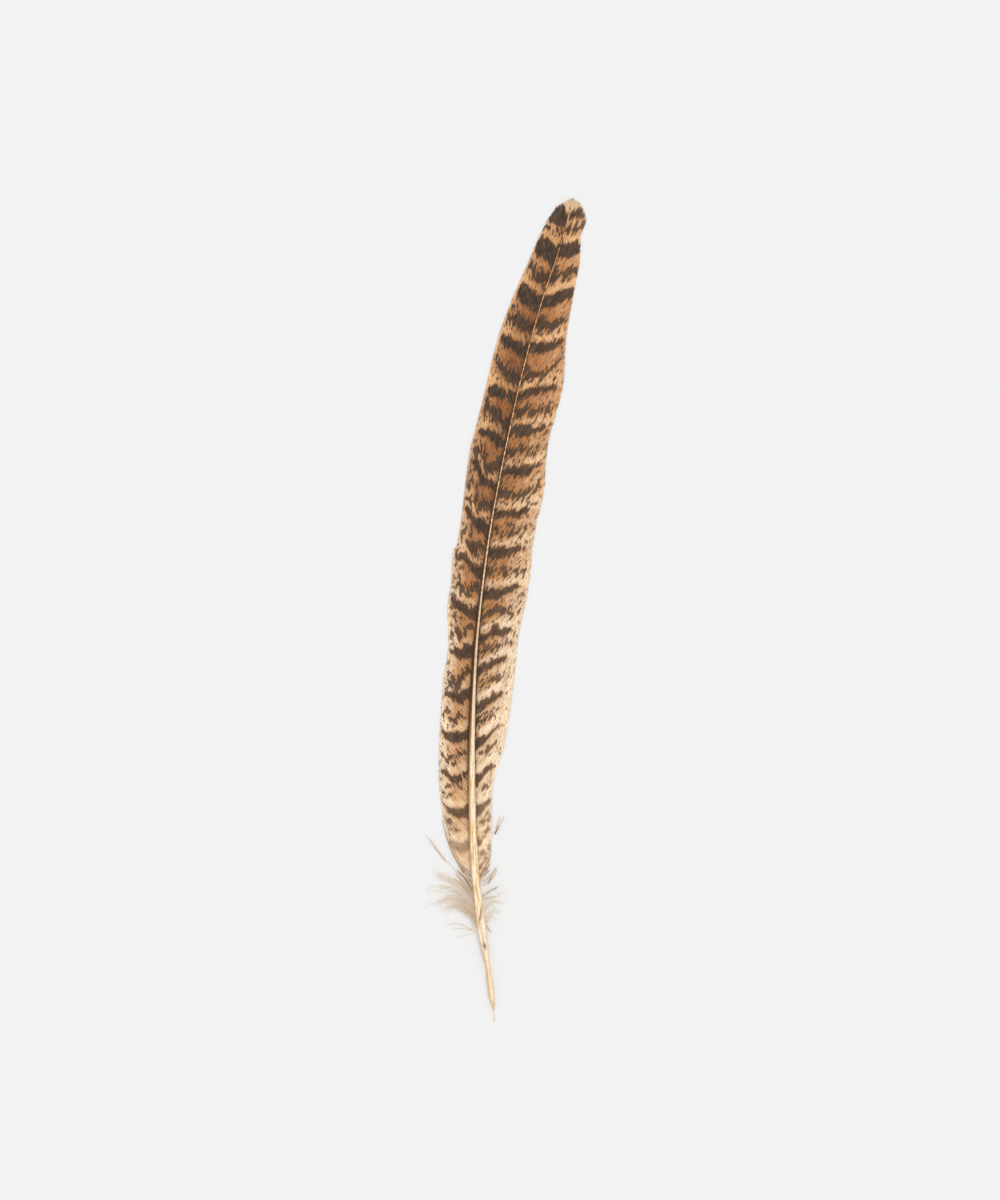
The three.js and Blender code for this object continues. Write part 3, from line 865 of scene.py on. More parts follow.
def lay_barbules(rng, barbs, each):
    """Root, middle and end of the barbules that stand on both sides of each down barb."""
    count = len(barbs)
    t = np.linspace(*BARBULE_SPAN, each)[None] + rng.normal(0, BARBULE_STRAY, (count, each))
    position = np.clip(t, 0, 0.999) * (DOWN_PLACES - 1)
    index = position.astype(int)
    rest = (position - index)[..., None]
    rows = np.arange(count)[:, None]
    base = barbs[rows, index] * (1 - rest) + barbs[rows, index + 1] * rest
    way = barbs[rows, index + 1] - barbs[rows, index]
    way /= np.linalg.norm(way, axis=2, keepdims=True) + TINY
    across = np.stack([-way[..., 1], way[..., 0], np.zeros_like(way[..., 0])], axis=-1)
    hand = np.where(np.arange(each) % 2 == 0, 1, -1)[None, :, None]
    splay = rng.uniform(*BARBULE_SPLAY, (count, each, 1))
    rise = rng.normal(0, BARBULE_RISE, (count, each, 1)) * np.array([0, 0, 1.0])
    aim = way + across * hand * splay + rise
    aim /= np.linalg.norm(aim, axis=2, keepdims=True)
    # Barbules are longer towards the end of their barb.
    reach = BARBULE_LENGTH * rng.uniform(*BARBULE_SHARES, (count, each, 1)) * (0.8 + 0.4 * t[..., None])
    middle = base + aim * reach * 0.5
    curl = way * reach * BARBULE_LEAN + rng.normal(0, BARBULE_CURL, (count, each, 3))
    end = base + aim * reach + curl
    for spot in (middle, end):
        spot[..., 2] = np.maximum(spot[..., 2], BARBULE_FLOOR)
    return np.stack([base, middle, end], axis=2).reshape(-1, 3, 3)


# ---- Loose barbs --------------------------------------------------------------------------------

# Barbs that have come away from the vanes: places from the free end to the root, in steps like the guides',
# thickness in millimetres, and 0 where the barb is pale or 1 where it is brown.
LOOSE_BARBS = [
    ([(-88, 633), (-80, 645), (-72, 655), (-67, 661)], 0.24, 0.35),
    ([(-83, 638), (-75, 650), (-66, 662)], 0.22, 0.2),
    ([(-66, 660), (-60, 667), (-54, 674)], 0.2, 0.1),
    ([(-71, 618), (-66, 638), (-59, 656), (-49, 673)], 0.3, 0.7),
    ([(-65, 635), (-59, 650), (-52, 664), (-44, 679)], 0.3, 0.45),
    ([(-67, 612), (-66, 624), (-62, 636)], 0.26, 0.5),
    ([(-8, 615), (-12, 623), (-17, 633)], 0.28, 0.2),
    ([(-12, 615), (-14, 621), (-17, 628)], 0.24, 0.2),
    ([(-13.5, 625), (-16, 630), (-18, 634)], 0.55, 0.85),
    ([(-16, 666), (-20, 673), (-24, 684)], 0.34, 0.45),
    ([(-24, 682), (-19, 677), (-16, 669)], 0.26, 0.25),
    ([(-31, 669), (-27, 666), (-23, 659)], 0.26, 0.5),
    ([(-31, 673), (-27, 670), (-23, 664)], 0.24, 0.5),
    ([(-31, 677), (-27, 674), (-23, 670)], 0.26, 0.6),
    ([(-31, 682), (-26, 679), (-22, 674)], 0.26, 0.3),
    ([(-31, 686), (-25, 682), (-21, 676)], 0.26, 0.35),
    ([(-67, 726), (-60, 723), (-51, 724), (-40, 730)], 0.2, 0.05),
    ([(-62, 729), (-52, 728), (-38, 730)], 0.16, 0),
    ([(-57, 738), (-46, 735), (-36, 731)], 0.14, 0),
    ([(-51, 674), (-46, 679), (-41, 690)], 0.3, 0.6),
    ([(-56, 672), (-50, 676), (-45, 684)], 0.24, 0.4),
    ([(-14, 687), (-22, 690), (-30, 696)], 0.28, 0.7),
    ([(-16, 696), (-23, 697), (-30, 699)], 0.22, 0.45),
    ([(-21, 733), (-25, 728), (-28, 723)], 0.4, 0.3),
    ([(-58, 673), (-51, 680), (-42, 692)], 0.45, 0.3),
    ([(-56, 669), (-50, 676), (-42, 687)], 0.4, 0.45),
    ([(-54, 666), (-48, 672), (-42, 682)], 0.45, 0.3),
    ([(-60, 678), (-51, 684), (-42, 696)], 0.4, 0.35),
    ([(-50, 667), (-46, 671), (-41, 678)], 0.4, 0.3),
]
STRAY_BARBS = [([(-59, 553), (-54, 565), (-46, 590)], 0.3, -0.3)]
# Height of the root, and how far the free end sinks: on the floor, and on top of a vane.
LOOSE_HEIGHTS = [(LOOSE_BARBS, 0.7, 0.5), (STRAY_BARBS, 1.5, 0.45)]
LOOSE_SEED = 41
LOOSE_PLACES = 14
LOOSE_RISE = 0.3
LOOSE_TAPER = [(0, 1), (0.7, 0.8), (1, 0.3)]
LOOSE_SMOOTHING = 3  # how often the corners of a barb's line are rounded
TINT_STRAY = 0.02


def build_loose_barbs():
    """Mesh of the barbs that have come away. Each rises from its root and sinks towards its free end."""
    rng = np.random.default_rng(LOOSE_SEED)
    groups = []
    barbs = [(*barb, root, sink) for listed, root, sink in LOOSE_HEIGHTS for barb in listed]
    for places, thickness, brown, root, sink in barbs:
        spots = np.array([step_place(place) for place in places])[::-1]
        t = np.linspace(0, len(spots) - 1, LOOSE_PLACES)
        line = np.stack([np.interp(t, np.arange(len(spots)), spots[:, axis]) for axis in (0, 1)], axis=-1)
        for _ in range(LOOSE_SMOOTHING):
            line[1:-1] = (line[:-2] + 2 * line[1:-1] + line[2:]) / 4
        share = np.linspace(0, 1, LOOSE_PLACES)
        height = root + LOOSE_RISE * np.sin(math.pi * share) - sink * share
        lines = np.concatenate([line, height[:, None]], axis=-1)[None]
        radii = thickness / 2 * curve(LOOSE_TAPER, share[:-1])[None]
        groups.append((lines, radii, np.array([brown]) + rng.normal(0, TINT_STRAY, 1)))
    return fibre_mesh("loose_barbs", groups)


# ---- Materials ----------------------------------------------------------------------------------


def linear(hex_colour):
    """Linear red, green and blue of an sRGB colour such as d19b68."""
    channels = [int(hex_colour[i : i + 2], 16) / 255 for i in (0, 2, 4)]
    return tuple(c / 12.92 if c <= 0.04045 else ((c + 0.055) / 1.055) ** 2.4 for c in channels)


def opaque(colour):
    return (*colour, 1)


def add_node(tree, kind, *values, named=(), **settings):
    """A node with its settings. values go to its inputs in order, named ones by name."""
    node = tree.nodes.new(kind)
    for setting, value in settings.items():
        setattr(node, setting, value)
    inputs = [socket for socket in node.inputs if socket.enabled]
    pairs = list(zip(inputs, values)) + [(node.inputs[name], value) for name, value in named]
    for socket, value in pairs:
        if isinstance(value, bpy.types.Node):
            value = next(output for output in value.outputs if output.enabled)
        if isinstance(value, bpy.types.NodeSocket):
            tree.links.new(value, socket)
        elif value is not None:
            socket.default_value = value
    return node


ATTRIBUTE, RAMP, MIX = "ShaderNodeAttribute", "ShaderNodeMapRange", "ShaderNodeMix"
MATH, VECTOR = "ShaderNodeMath", "ShaderNodeVectorMath"
SMOOTH = {"interpolation_type": "SMOOTHSTEP"}
COLOUR = {"data_type": "RGBA"}
KERATIN_IOR = 1.55
SHAFT_FIELDS = ("across", "length", "tan", "groove", "scar")
VANE_FIELDS = (
    "ink", "blot", "bold", "crisp", "clear", "tatter", "far", "warmth", "cream", "honey", "streaky", "dust",
    "shade", "root_brown_and_shadow", "weave", "belly",
)


def new_material(name, roughness, specular):
    """A material with its shader, and add_node for its own tree."""
    material = bpy.data.materials.new(name)
    material.use_nodes = True
    shader = material.node_tree.nodes["Principled BSDF"]
    shader.inputs["Roughness"].default_value = roughness
    shader.inputs["Specular IOR Level"].default_value = specular
    return material, shader, partial(add_node, material.node_tree)


def colour_keratin(material, shader, colour):
    """Gives the shader its colour, a node's output, and the refraction of keratin."""
    material.node_tree.links.new(colour, shader.inputs["Base Color"])
    shader.inputs["IOR"].default_value = KERATIN_IOR
    return material


# Noise that follows the barbs: cycles to a barb across the vane, cycles to a millimetre along the barbs, and
# detail. A cycle of clumps is 14 barbs wide and 11 mm long, and one of streaks about 5 barbs and 5 mm. One of
# hairs is still 3 barbs wide, since a single barb is too fine to tell.
BARB_NOISES = {
    "clump": (0.07, 0.09, 1),
    "streak": (0.22, 0.22, 2),
    "hair": (0.36, 0.4, 1),
    "patch": (0.15, 0.2, 2),
    "fleck": (0.28, 0.55, 1),
    "line": (0.2, 0.08, 1),
}
SHADE_TINT = (0.62, 0.54, 0.48)  # how much red, green and blue the ground keeps in full shade
WEAVE_DEPTH = 0.13
UNDERSIDE = 0.45  # how much of the underside's own colour shows there


def barb_noise(node, strand, far, across, along, detail):
    """Noise from -0.5 to 0.5. Far out, where the barbs run closer together, it changes more slowly from one
    barb to the next."""
    clouds = []
    for rate in (across, FAR_RATE * across):
        scaled = node(VECTOR, strand, (rate, along, 1), operation="MULTIPLY")
        clouds.append(node("ShaderNodeTexNoise", scaled, named=[("Scale", 1), ("Detail", detail)]))
    cloud = node(MIX, far, *clouds)
    return node(MATH, cloud, 0.5, operation="SUBTRACT")


def weighed(node, start, *terms):
    """start plus each value times its weight."""
    total = start
    for value, weight in terms:
        total = node(MATH, value, weight, total, operation="MULTIPLY_ADD")
    return total


def ragged_edges(node, at):
    """How far each place lies inside the bars and the mottles, and how near it is to carrying a fleck."""
    ragged = weighed(node, 0.0, (at["clump"], 2.6), (at["streak"], 3.8), (at["hair"], 5.0))
    bar = node(MATH, ragged, at["crisp"], at["ink"], operation="MULTIPLY_ADD")
    bar = node(MATH, bar, at["crisp"], operation="MULTIPLY")
    torn = weighed(node, 0.0, (at["patch"], 2.5), (at["streak"], 6.0), (at["hair"], 12.0))
    mottle = node(MATH, torn, at["tatter"], at["blot"], operation="MULTIPLY_ADD")
    softer = node(MATH, at["crisp"], 0.5, 0.5, operation="MULTIPLY_ADD")
    mottle = node(MATH, mottle, softer, operation="MULTIPLY")
    fleck = weighed(node, at["dust"], (at["fleck"], 3.2), (at["hair"], 1.6))
    return bar, mottle, fleck


def barb_ground(node, at, edges, colours):
    """Colour between the marks: buff to rufous, streaked with cream or honey where it is pale, and shaded."""
    warm = weighed(node, at["warmth"], (at["patch"], 0.6), (at["streak"], 0.6))
    warm = node(RAMP, warm, 0.0, 1.0, 0.0, 1.0)
    ground = node(MIX, warm, opaque(colours.buff), opaque(colours.rufous), **COLOUR)
    honeyed = weighed(node, at["honey"], (at["hair"], 2.0), (at["line"], 1.0))
    honeyed = node(RAMP, honeyed, 0.0, 1.0, 0.0, 1.0)
    cream = node(MIX, honeyed, opaque(colours.cream), opaque(colours.honey), **COLOUR)
    silk = weighed(node, 0.0, (at["streak"], 1.0), (at["hair"], 1.5))
    pale = node(MATH, silk, at["streaky"], at["cream"], operation="MULTIPLY_ADD")
    pale = node(RAMP, pale, 0.0, 1.1, 0.0, 1.0)
    ground = node(MIX, pale, ground, cream, **COLOUR)
    # Rufous pigment spreads a little past every dark mark.
    bar, mottle, fleck = edges
    near_bar = node(RAMP, bar, -0.9, -0.1, 0.0, 0.75, **SMOOTH)
    near_mottle = node(RAMP, mottle, -1.2, -0.1, 0.0, 0.6, **SMOOTH)
    near_fleck = node(RAMP, fleck, 0.8, 1.1, 0.0, 0.4, **SMOOTH)
    halo = node(MATH, near_bar, near_mottle, operation="MAXIMUM")
    halo = node(MATH, halo, near_fleck, operation="MAXIMUM")
    halo = node(MATH, halo, at["bold"], operation="MULTIPLY")
    ground = node(MIX, halo, ground, opaque(colours.rufous), **COLOUR)
    shade = weighed(node, at["shade"], (at["clump"], 0.5), (at["streak"], 0.5))
    shade = node(RAMP, shade, 0.0, 1.0, 0.0, 1.0, **SMOOTH)
    dimmed = node(VECTOR, ground, SHADE_TINT, operation="MULTIPLY")
    return node(MIX, shade, ground, dimmed, **COLOUR)


def barb_marks(node, at, edges, ground, colours):
    """Colour of the barbs: melanin in bars with painted sheen lines, mottles and flecks on the ground, and
    brown barb roots with the shaft's shadow painted over them.
    """
    pigment = node(MIX, at["shade"], opaque(colours.bar), opaque(colours.bar_dark), **COLOUR)
    # Painted sheen: fine paler lines along the barbs inside the bars.
    sheen_lines = weighed(node, 0.0, (at["line"], 0.3), (at["hair"], 1.4))
    sheen_lines = node(RAMP, sheen_lines, -0.1, 0.35, 0.0, 0.6)
    pigment = node(MIX, sheen_lines, pigment, opaque(colours.bar_sheen), **COLOUR)
    bar, mottle, fleck = edges
    bar = node(RAMP, bar, -0.2, 0.15, 0.0, 1.0, **SMOOTH)
    mottle = node(RAMP, mottle, -0.25, 0.2, 0.0, 0.97, **SMOOTH)
    dust = node(RAMP, fleck, 1.0, 1.25, 0.0, 0.8, **SMOOTH)
    marks = node(MATH, mottle, bar, operation="MAXIMUM")
    marks = node(MATH, marks, at["bold"], operation="MULTIPLY")
    marks = node(MATH, marks, dust, operation="MAXIMUM")
    marks = node(MATH, marks, at["clear"], operation="MULTIPLY")
    marked = node(MIX, marks, ground, pigment, **COLOUR)
    # Brown beside the shaft: the barbs' brown roots with the shaft's shadow painted over them.
    root = weighed(node, at["root_brown_and_shadow"], (at["hair"], 0.9))
    root = node(RAMP, root, 0.0, 0.85, 0.0, 1.0)
    return node(MIX, root, marked, opaque(colours.root_brown_and_shadow), **COLOUR)


def barred_barbs(colours):
    """Barbs of barred keratin, zipped together as they grew: matt, streaked along each barb with their own
    tone and with painted glints and shade, dark where the growing barb took up melanin. Each barb carries its
    own share of a bar, so the bars' edges are ragged."""
    material, shader, node = new_material("melanin_barred_keratin_barbs", roughness=0.62, specular=0.15)
    at = {name: node(ATTRIBUTE, attribute_name=name).outputs["Fac"] for name in VANE_FIELDS}
    strand = node(ATTRIBUTE, attribute_name="strand").outputs["Vector"]
    for name, noise in BARB_NOISES.items():
        at[name] = barb_noise(node, strand, at["far"], *noise)
    edges = ragged_edges(node, at)
    ground = barb_ground(node, at, edges, colours)
    marked = barb_marks(node, at, edges, ground, colours)

    # The barbules of zipped barbs cross in a herringbone. The real one is finer than a hair: its lines are
    # drawn 0.8 mm apart.
    lattice = node(ATTRIBUTE, attribute_name="lattice").outputs["Vector"]
    bent = node(VECTOR, lattice, operation="SINE")
    weave = node(VECTOR, bent, (1, 1, 0), operation="DOT_PRODUCT").outputs["Value"]
    weave = node(MATH, weave, at["weave"], operation="MULTIPLY")
    # Painted glints and shade: the colour brightens and darkens along the barbs' lines, hairs and streaks,
    # partly as the barbs' own tone and partly as light on their ridges and shade between them. The
    # herringbone brightens and darkens it too.
    glints = [(at["line"], 0.9), (at["hair"], 1.2), (at["streak"], 0.6), (weave, WEAVE_DEPTH)]
    brightness = weighed(node, 1.0, *glints)
    lit = node(VECTOR, marked, named=[("Scale", brightness)], operation="SCALE")
    under = node(MATH, at["belly"], UNDERSIDE, operation="MULTIPLY")
    turned = node(MIX, under, lit, opaque(colours.belly), **COLOUR)
    return colour_keratin(material, shader, turned.outputs[2])


def waxy_keratin(colours):
    """Keratin of the shaft, grown solid and dried: waxy and cream on the quill, with golden streaks along it,
    and a pale line between brown sides where it thins towards the tip. The sides are partly the shaft's own
    brown and partly painted shade on its rounded sides, and the pale line right of the middle is partly a
    painted highlight."""
    material, shader, node = new_material("waxy_dried_keratin_shaft", roughness=0.38, specular=0.25)
    field = {name: node(ATTRIBUTE, attribute_name=name).outputs["Fac"] for name in SHAFT_FIELDS}
    length = field["length"]
    place = node("ShaderNodeCombineXYZ", field["across"], length, 0.0)

    share = node(RAMP, length, SHAFT_FOOT, SHAFT_TIP, 0.0, 1.0)
    ladder = node("ShaderNodeValToRGB", share)
    stops = [
        (-123.4, colours.thread), (-120.5, colours.thread), (-119, colours.gold), (-116, colours.quill),
        (-90, colours.quill), (-75, colours.shaft), (-45, colours.shaft), (-18, colours.middle),
        (25, colours.middle), (60, colours.upper), (90, colours.top), (122, colours.top),
    ]
    steps = ladder.color_ramp.elements
    while len(steps) < len(stops):
        steps.new(0.5)
    for step, (y, colour) in zip(steps, stops):
        step.position = (y - SHAFT_FOOT) / (SHAFT_TIP - SHAFT_FOOT)
        step.color = opaque(colour)

    # Streaks run along the shaft: about six to its width, and 6 mm long.
    stretched = node(VECTOR, place, (3.0, 0.16, 1), operation="MULTIPLY")
    cloud = node("ShaderNodeTexNoise", stretched, named=[("Scale", 1), ("Detail", 3)])
    gold = node(RAMP, cloud, 0.46, 0.6, 0.0, 1.0, **SMOOTH)
    on_quill = node(RAMP, length, -20.0, -60.0, 0.2, 1.0)
    bare = node(RAMP, length, -86.0, -94.0, 1.0, 0.4)
    on_quill = node(MATH, on_quill, bare, operation="MULTIPLY")
    gold = node(MATH, gold, on_quill, operation="MULTIPLY")
    gold = node(MATH, gold, field["tan"], operation="MAXIMUM")
    streaked = node(MIX, gold, ladder, opaque(colours.gold), **COLOUR)
    # Painted shade in the groove, which is also sunk into the shaft.
    groove_shaded = node(MIX, field["groove"], streaked, opaque(colours.groove), **COLOUR)
    scarred = node(MIX, field["scar"], groove_shaded, opaque(colours.scar), **COLOUR)

    side_shaded = shaded_sides(node, field, scarred, colours)
    # Brightness that rises and falls in dashes of about a millimetre breaks the pale line between the sides.
    dash_place = node(VECTOR, place, (0.5, 0.9, 1), operation="MULTIPLY")
    dash_cloud = node("ShaderNodeTexNoise", dash_place, named=[("Scale", 1), ("Detail", 2)])
    dash_cloud = node(MATH, dash_cloud, 0.5, operation="SUBTRACT")
    thin = node(RAMP, length, -30.0, 60.0, 0.4, 4.5)
    dashes = node(MATH, dash_cloud, thin, 1.0, operation="MULTIPLY_ADD")
    dashed = node(VECTOR, side_shaded, named=[("Scale", dashes)], operation="SCALE")
    return colour_keratin(material, shader, dashed.outputs["Vector"])


def shaded_sides(node, field, between, colours):
    """Brown sides of the shaft, partly its own colour and partly painted shade on its rounded sides. They
    leave a pale line between them, right of its middle, which is partly a painted highlight.
    """
    across, length = field["across"], field["length"]
    # Painted shade darkens the rounded sides in the shaft's own brown and leaves a pale line right of the
    # middle, which is partly a painted highlight.
    middle = node(RAMP, length, -65.0, -15.0, 0.12, 0.4)
    side = node(MATH, across, middle, operation="SUBTRACT")
    side = node(MATH, side, operation="ABSOLUTE")
    narrowing = node(RAMP, length, -80.0, 0.0, -0.12, 0.25)
    side = node(MATH, side, narrowing, operation="ADD")
    side = node(RAMP, side, 0.5, 0.85, 0.0, 1.0, **SMOOTH)
    upper = node(RAMP, length, -60.0, -20.0, 0.0, 1.0, **SMOOTH)
    sides = node(MIX, upper, opaque(colours.lower_side_brown_and_shade), opaque(colours.rim), **COLOUR)
    strength = node(RAMP, length, -95.0, -30.0, 0.3, 1.0)
    rim = node(MATH, side, strength, operation="MULTIPLY")
    return node(MIX, rim, between, sides, **COLOUR)


def soft_down(name, root_colour, tip_colour, fade):
    """Plain keratin, grown loose with no hooks: matt and soft. fade is how far it changes along a fibre."""
    material, shader, node = new_material(name, roughness=0.8, specular=0.2)
    along = node(ATTRIBUTE, attribute_name="along").outputs["Fac"]
    tint = node(ATTRIBUTE, attribute_name="tint").outputs["Fac"]
    amount = node(MATH, along, fade, tint, operation="MULTIPLY_ADD")
    amount = node(RAMP, amount, 0.0, 1.0 + fade, 0.0, 1.0)
    colour = node(MIX, amount, opaque(root_colour), opaque(tip_colour), **COLOUR)
    return colour_keratin(material, shader, colour.outputs[2])


# ---- Making and finishing pieces ----------------------------------------------------------------


def add_piece(mesh, material, slot, *nodes):
    """An object for the mesh, riding on the feather's one body in place of CAD nodes."""
    mesh.materials.clear()
    mesh.materials.append(material)
    mesh.validate()
    mesh.update()
    piece = bpy.data.objects.new(mesh.name, mesh)
    bpy.context.scene.collection.objects.link(piece)
    return finish_piece(piece, slot, *nodes)


def finish_piece(piece, slot, *nodes):
    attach(piece, "root")
    if nodes:
        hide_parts(*nodes)
    return piece


# ---- Settings -----------------------------------------------------------------------------------


def colour_property(name, hex_colour, description):
    return FloatVectorProperty(
        name=name, description=description, default=linear(hex_colour), subtype="COLOR", size=3, min=0, max=1
    )


class FEATHER_PG_vanes(bpy.types.PropertyGroup):
    """Sizes and colours of the vanes."""

    barb_pitch: FloatProperty(
        name="Barb pitch",
        description="Distance along the shaft from one barb to the next",
        default=0.42 * MM,
        min=0.3 * MM,
        max=1.0 * MM,
        precision=5,
        unit="LENGTH",
    )
    barb_segments: IntProperty(
        name="Barb segments", description="Spans along each barb", default=64, min=16, max=66
    )
    bar: colour_property("Bars", "46382d", "Brown of the dark bars on the right vane")
    bar_dark: colour_property("Shaded bars", "3e3026", "Darker brown of the bars on the left vane")
    # Brown beside the shaft: the barbs' brown roots with the shaft's shadow painted over them.
    root_brown_and_shadow: colour_property("Beside the shaft", "46301f", "Brown of the barbs' roots")
    rufous: colour_property("Rufous", "ab6f43", "Red-brown ground under each bar")
    buff: colour_property("Buff", "d8a269", "Paler ground above each bar")
    cream: colour_property("Cream", "f6dfbe", "Ground of the margins and the base")
    honey: colour_property("Honey", "e9b987", "Ground of the margins and the tip of the upper half")
    # Painted sheen: fine paler lines along the barbs inside the bars.
    bar_sheen: colour_property("Worn pigment", "6b5744", "Fine paler lines in the bars")
    belly: colour_property("Underside", "cbb89f", "Colour that pales the underside")


class FEATHER_PG_shaft(bpy.types.PropertyGroup):
    """Sizes and colours of the shaft."""

    section_sides: IntProperty(
        name="Section sides", description="Sides of the shaft's section", default=12, min=8
    )
    thread: colour_property("Thread", "fbebd0", "Dry thread at the quill's point")
    quill: colour_property("Quill", "f9e9cd", "Bare quill")
    shaft: colour_property("Shaft", "f6e6c9", "Shaft between the lowest barbs")
    middle: colour_property("Middle", "e3c8a2", "Shaft halfway up")
    upper: colour_property("Upper shaft", "dba877", "Shaft above the middle")
    top: colour_property("Top", "e6ab74", "Thinnest part of the shaft")
    gold: colour_property("Gold", "dfae6e", "Streaks of the quill")
    # Painted shade in the groove between the quill's two ridges.
    groove: colour_property("Groove", "a67f57", "Groove between the quill's two ridges")
    scar: colour_property("Scar", "8f7d64", "Small scar where the groove ends")
    # Sides of the shaft: partly their own brown and partly painted shade on the rounded sides.
    lower_side_brown_and_shade: colour_property("Lower sides", "b47e48", "Golden brown sides of the lower shaft")
    rim: colour_property("Sides", "5b3a20", "Brown sides of the upper shaft")


class FEATHER_PG_down(bpy.types.PropertyGroup):
    """Sizes and colours of the down."""

    barbs_in_tuft: IntProperty(
        name="Barbs in a tuft", description="Down barbs in each tuft", default=34, min=8
    )
    barbules_on_barb: IntProperty(
        name="Barbules", description="Barbules on each down barb", default=34, min=20, max=250
    )
    left_root: colour_property("Left roots", "e8cfac", "Left down at its roots")
    left_tip: colour_property("Left tips", "f5e8d6", "Left down at its ends")
    right_root: colour_property("Right roots", "eedcc0", "Right down at its roots")
    right_tip: colour_property("Right tips", "f8efe2", "Right down at its ends")
    loose_pale: colour_property("Loose barbs", "efcd98", "Pale barbs that have come away")
    loose_brown: colour_property("Brown loose barbs", "744a26", "Brown barbs that have come away")


class FEATHER_PG_stage(bpy.types.PropertyGroup):
    """Floor, light and camera."""

    floor: colour_property("Floor", "e9e9e9", "Colour of the floor")
    floor_size: FloatProperty(
        name="Floor size", description="Side of the square floor", default=14, min=1, unit="LENGTH"
    )
    sky: FloatProperty(name="Sky", description="Strength of the even light all round", default=0.8, min=0)
    lamp: FloatProperty(name="Lamp", description="Strength of the soft light above", default=0.95, min=0)
    camera_height: FloatProperty(
        name="Camera height", description="Height of the camera over the floor", default=1.0, unit="LENGTH"
    )


# ---- Operators ----------------------------------------------------------------------------------

FLOOR_DROP = 0.05  # the feather lies this far above the floor
LAMP_TILT = (-6, 12)  # degrees that the lamp is turned round X and Y from straight down
LAMP_WIDTH = 60  # degrees of the sky that it fills, which leaves its shadows without an edge
CAMERA_X, CAMERA_Y = -3.84, 3.21
LENS, SENSOR = 100, 36


class FEATHER_OT_stage(bpy.types.Operator):
    """Make the floor, the light and the camera"""

    bl_idname = "feather.stage"
    bl_label = "Stage"

    def execute(self, context):
        sizes = context.scene.feather_stage
        bpy.ops.object.select_all(action="DESELECT")
        bpy.ops.mesh.primitive_plane_add(size=sizes.floor_size, location=(0, 0, -FLOOR_DROP * MM))
        floor = context.object
        floor.name = "floor"
        material, shader, _ = new_material("matt_white_card", roughness=1.0, specular=0.0)
        shader.inputs["Base Color"].default_value = opaque(sizes.floor)
        floor.data.materials.append(material)

        world = bpy.data.worlds.new("white_tent")
        world.use_nodes = True
        background = world.node_tree.nodes["Background"]
        background.inputs["Color"].default_value = (1, 1, 1, 1)
        background.inputs["Strength"].default_value = sizes.sky
        context.scene.world = world

        bpy.ops.object.light_add(type="SUN", rotation=(*map(math.radians, LAMP_TILT), 0))
        lamp = context.object
        lamp.name = "softbox"
        lamp.data.energy = sizes.lamp
        lamp.data.angle = math.radians(LAMP_WIDTH)

        place = (CAMERA_X * MM, CAMERA_Y * MM, sizes.camera_height)
        bpy.ops.object.camera_add(location=place, rotation=(0, 0, 0))
        camera = context.object
        camera.name = "camera"
        camera.data.lens = LENS
        camera.data.sensor_width = SENSOR
        context.scene.camera = camera
        context.scene.view_settings.view_transform = "Standard"
        return {"FINISHED"}


class FEATHER_OT_shaft(bpy.types.Operator):
    """Make the shaft and its quill"""

    bl_idname = "feather.shaft"
    bl_label = "Shaft"

    def execute(self, context):
        sizes = context.scene.feather_shaft
        piece = draw_out_shaft(sizes.section_sides)
        flatten_belly(piece)
        smooth = piece.modifiers.new("round", "SUBSURF")
        smooth.levels = smooth.render_levels = 2
        bpy.ops.object.modifier_apply(modifier=smooth.name)
        bpy.ops.object.shade_smooth()
        cut_groove(piece.data)
        piece.data.materials.append(waxy_keratin(sizes))
        finish_piece(piece, "shaft_keratin", "shaft")
        return {"FINISHED"}


class FEATHER_OT_vanes(bpy.types.Operator):
    """Make both vanes, barb by barb"""

    bl_idname = "feather.vanes"
    bl_label = "Vanes"

    def execute(self, context):
        sizes = context.scene.feather_vanes
        material = barred_barbs(sizes)
        for side, vane in VANES.items():
            mesh = build_vane(side, sizes)
            mesh.name = "barbs_left" if side == LEFT else "barbs_right"
            add_piece(mesh, material, "vane_barbs", vane["node"])
        return {"FINISHED"}


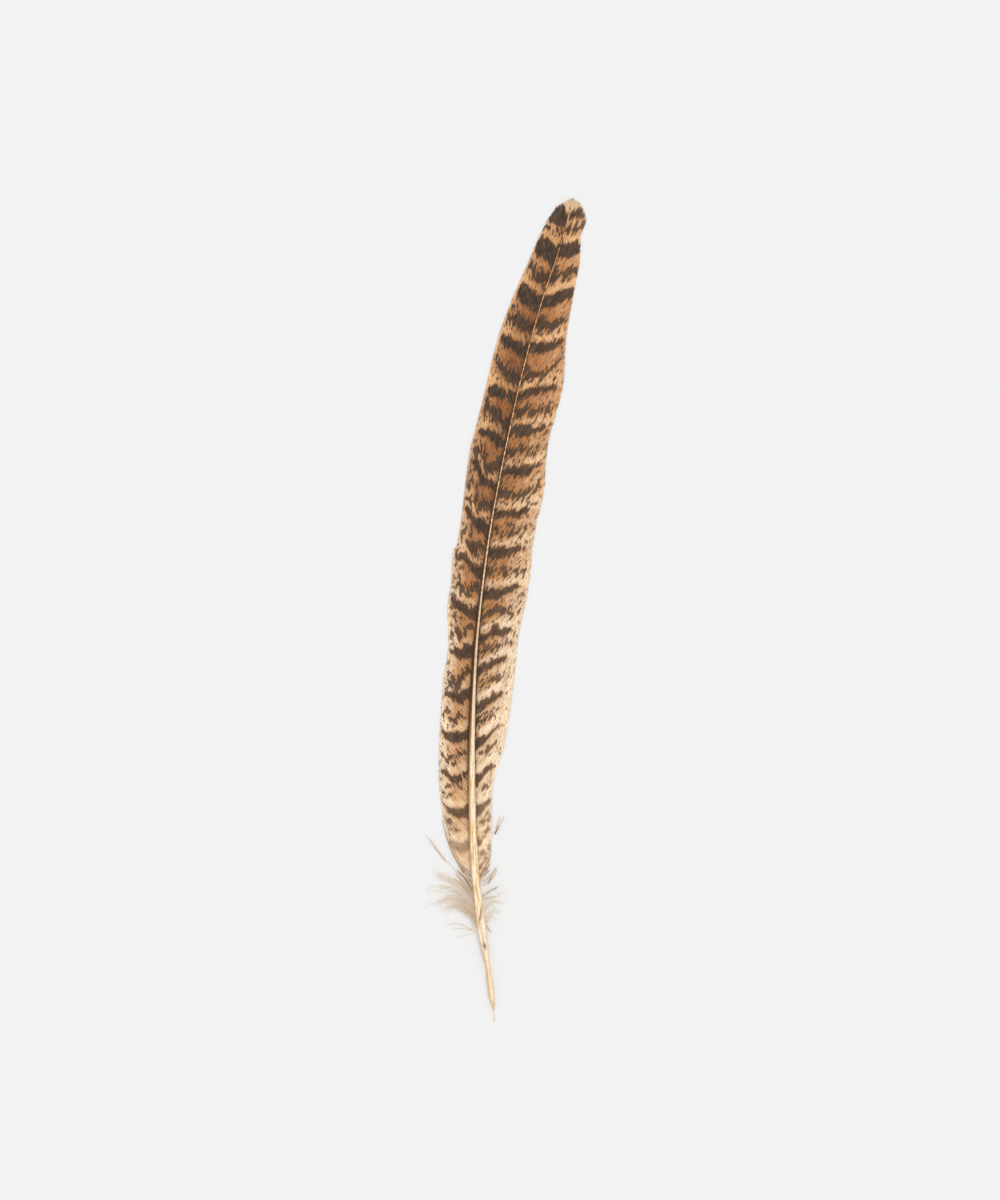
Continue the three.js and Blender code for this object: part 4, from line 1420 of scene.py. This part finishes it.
class FEATHER_OT_down(bpy.types.Operator):
    """Make the two tufts of down"""

    bl_idname = "feather.down"
    bl_label = "Down"

    def execute(self, context):
        sizes = context.scene.feather_down
        colours = {
            "down_left": (sizes.left_root, sizes.left_tip),
            "down_right": (sizes.right_root, sizes.right_tip),
        }
        for node, (root, tip) in colours.items():
            mesh = build_tuft(node, sizes)
            mesh.name = "tuft" + node.removeprefix("down")
            material = soft_down("unhooked_keratin_" + node, root, tip, 0.5)
            add_piece(mesh, material, "down_fibres", node)
        return {"FINISHED"}


class FEATHER_OT_loose_barbs(bpy.types.Operator):
    """Make the barbs that have come away from the vanes"""

    bl_idname = "feather.loose_barbs"
    bl_label = "Loose barbs"

    def execute(self, context):
        sizes = context.scene.feather_down
        mesh = build_loose_barbs()
        material = soft_down("keratin_loose_barbs", sizes.loose_pale, sizes.loose_brown, 0.0)
        add_piece(mesh, material, "vane_barbs")
        return {"FINISHED"}


class FEATHER_PT_panel(bpy.types.Panel):
    """Lists the feather's pieces."""

    bl_idname = "FEATHER_PT_panel"
    bl_label = "Tail feather"
    bl_space_type = "VIEW_3D"
    bl_region_type = "UI"
    bl_category = "Feather"

    def draw(self, context):
        for operator in OPERATORS:
            self.layout.operator(operator.bl_idname)


GROUPS = {
    "feather_stage": FEATHER_PG_stage,
    "feather_shaft": FEATHER_PG_shaft,
    "feather_vanes": FEATHER_PG_vanes,
    "feather_down": FEATHER_PG_down,
}
OPERATORS = [FEATHER_OT_stage, FEATHER_OT_shaft, FEATHER_OT_vanes, FEATHER_OT_down, FEATHER_OT_loose_barbs]


def register():
    for group in GROUPS.values():
        bpy.utils.register_class(group)
    for operator in OPERATORS:
        bpy.utils.register_class(operator)
    bpy.utils.register_class(FEATHER_PT_panel)
    for name, group in GROUPS.items():
        setattr(bpy.types.Scene, name, PointerProperty(type=group))


def unregister():
    for name in GROUPS:
        delattr(bpy.types.Scene, name)
    bpy.utils.unregister_class(FEATHER_PT_panel)
    for operator in reversed(OPERATORS):
        bpy.utils.unregister_class(operator)
    for group in reversed(GROUPS.values()):
        bpy.utils.unregister_class(group)


def main():
    register()
    bpy.ops.feather.stage()
    bpy.ops.feather.shaft()
    bpy.ops.feather.vanes()
    bpy.ops.feather.down()
    bpy.ops.feather.loose_barbs()


if __name__ == "__main__":
    main()
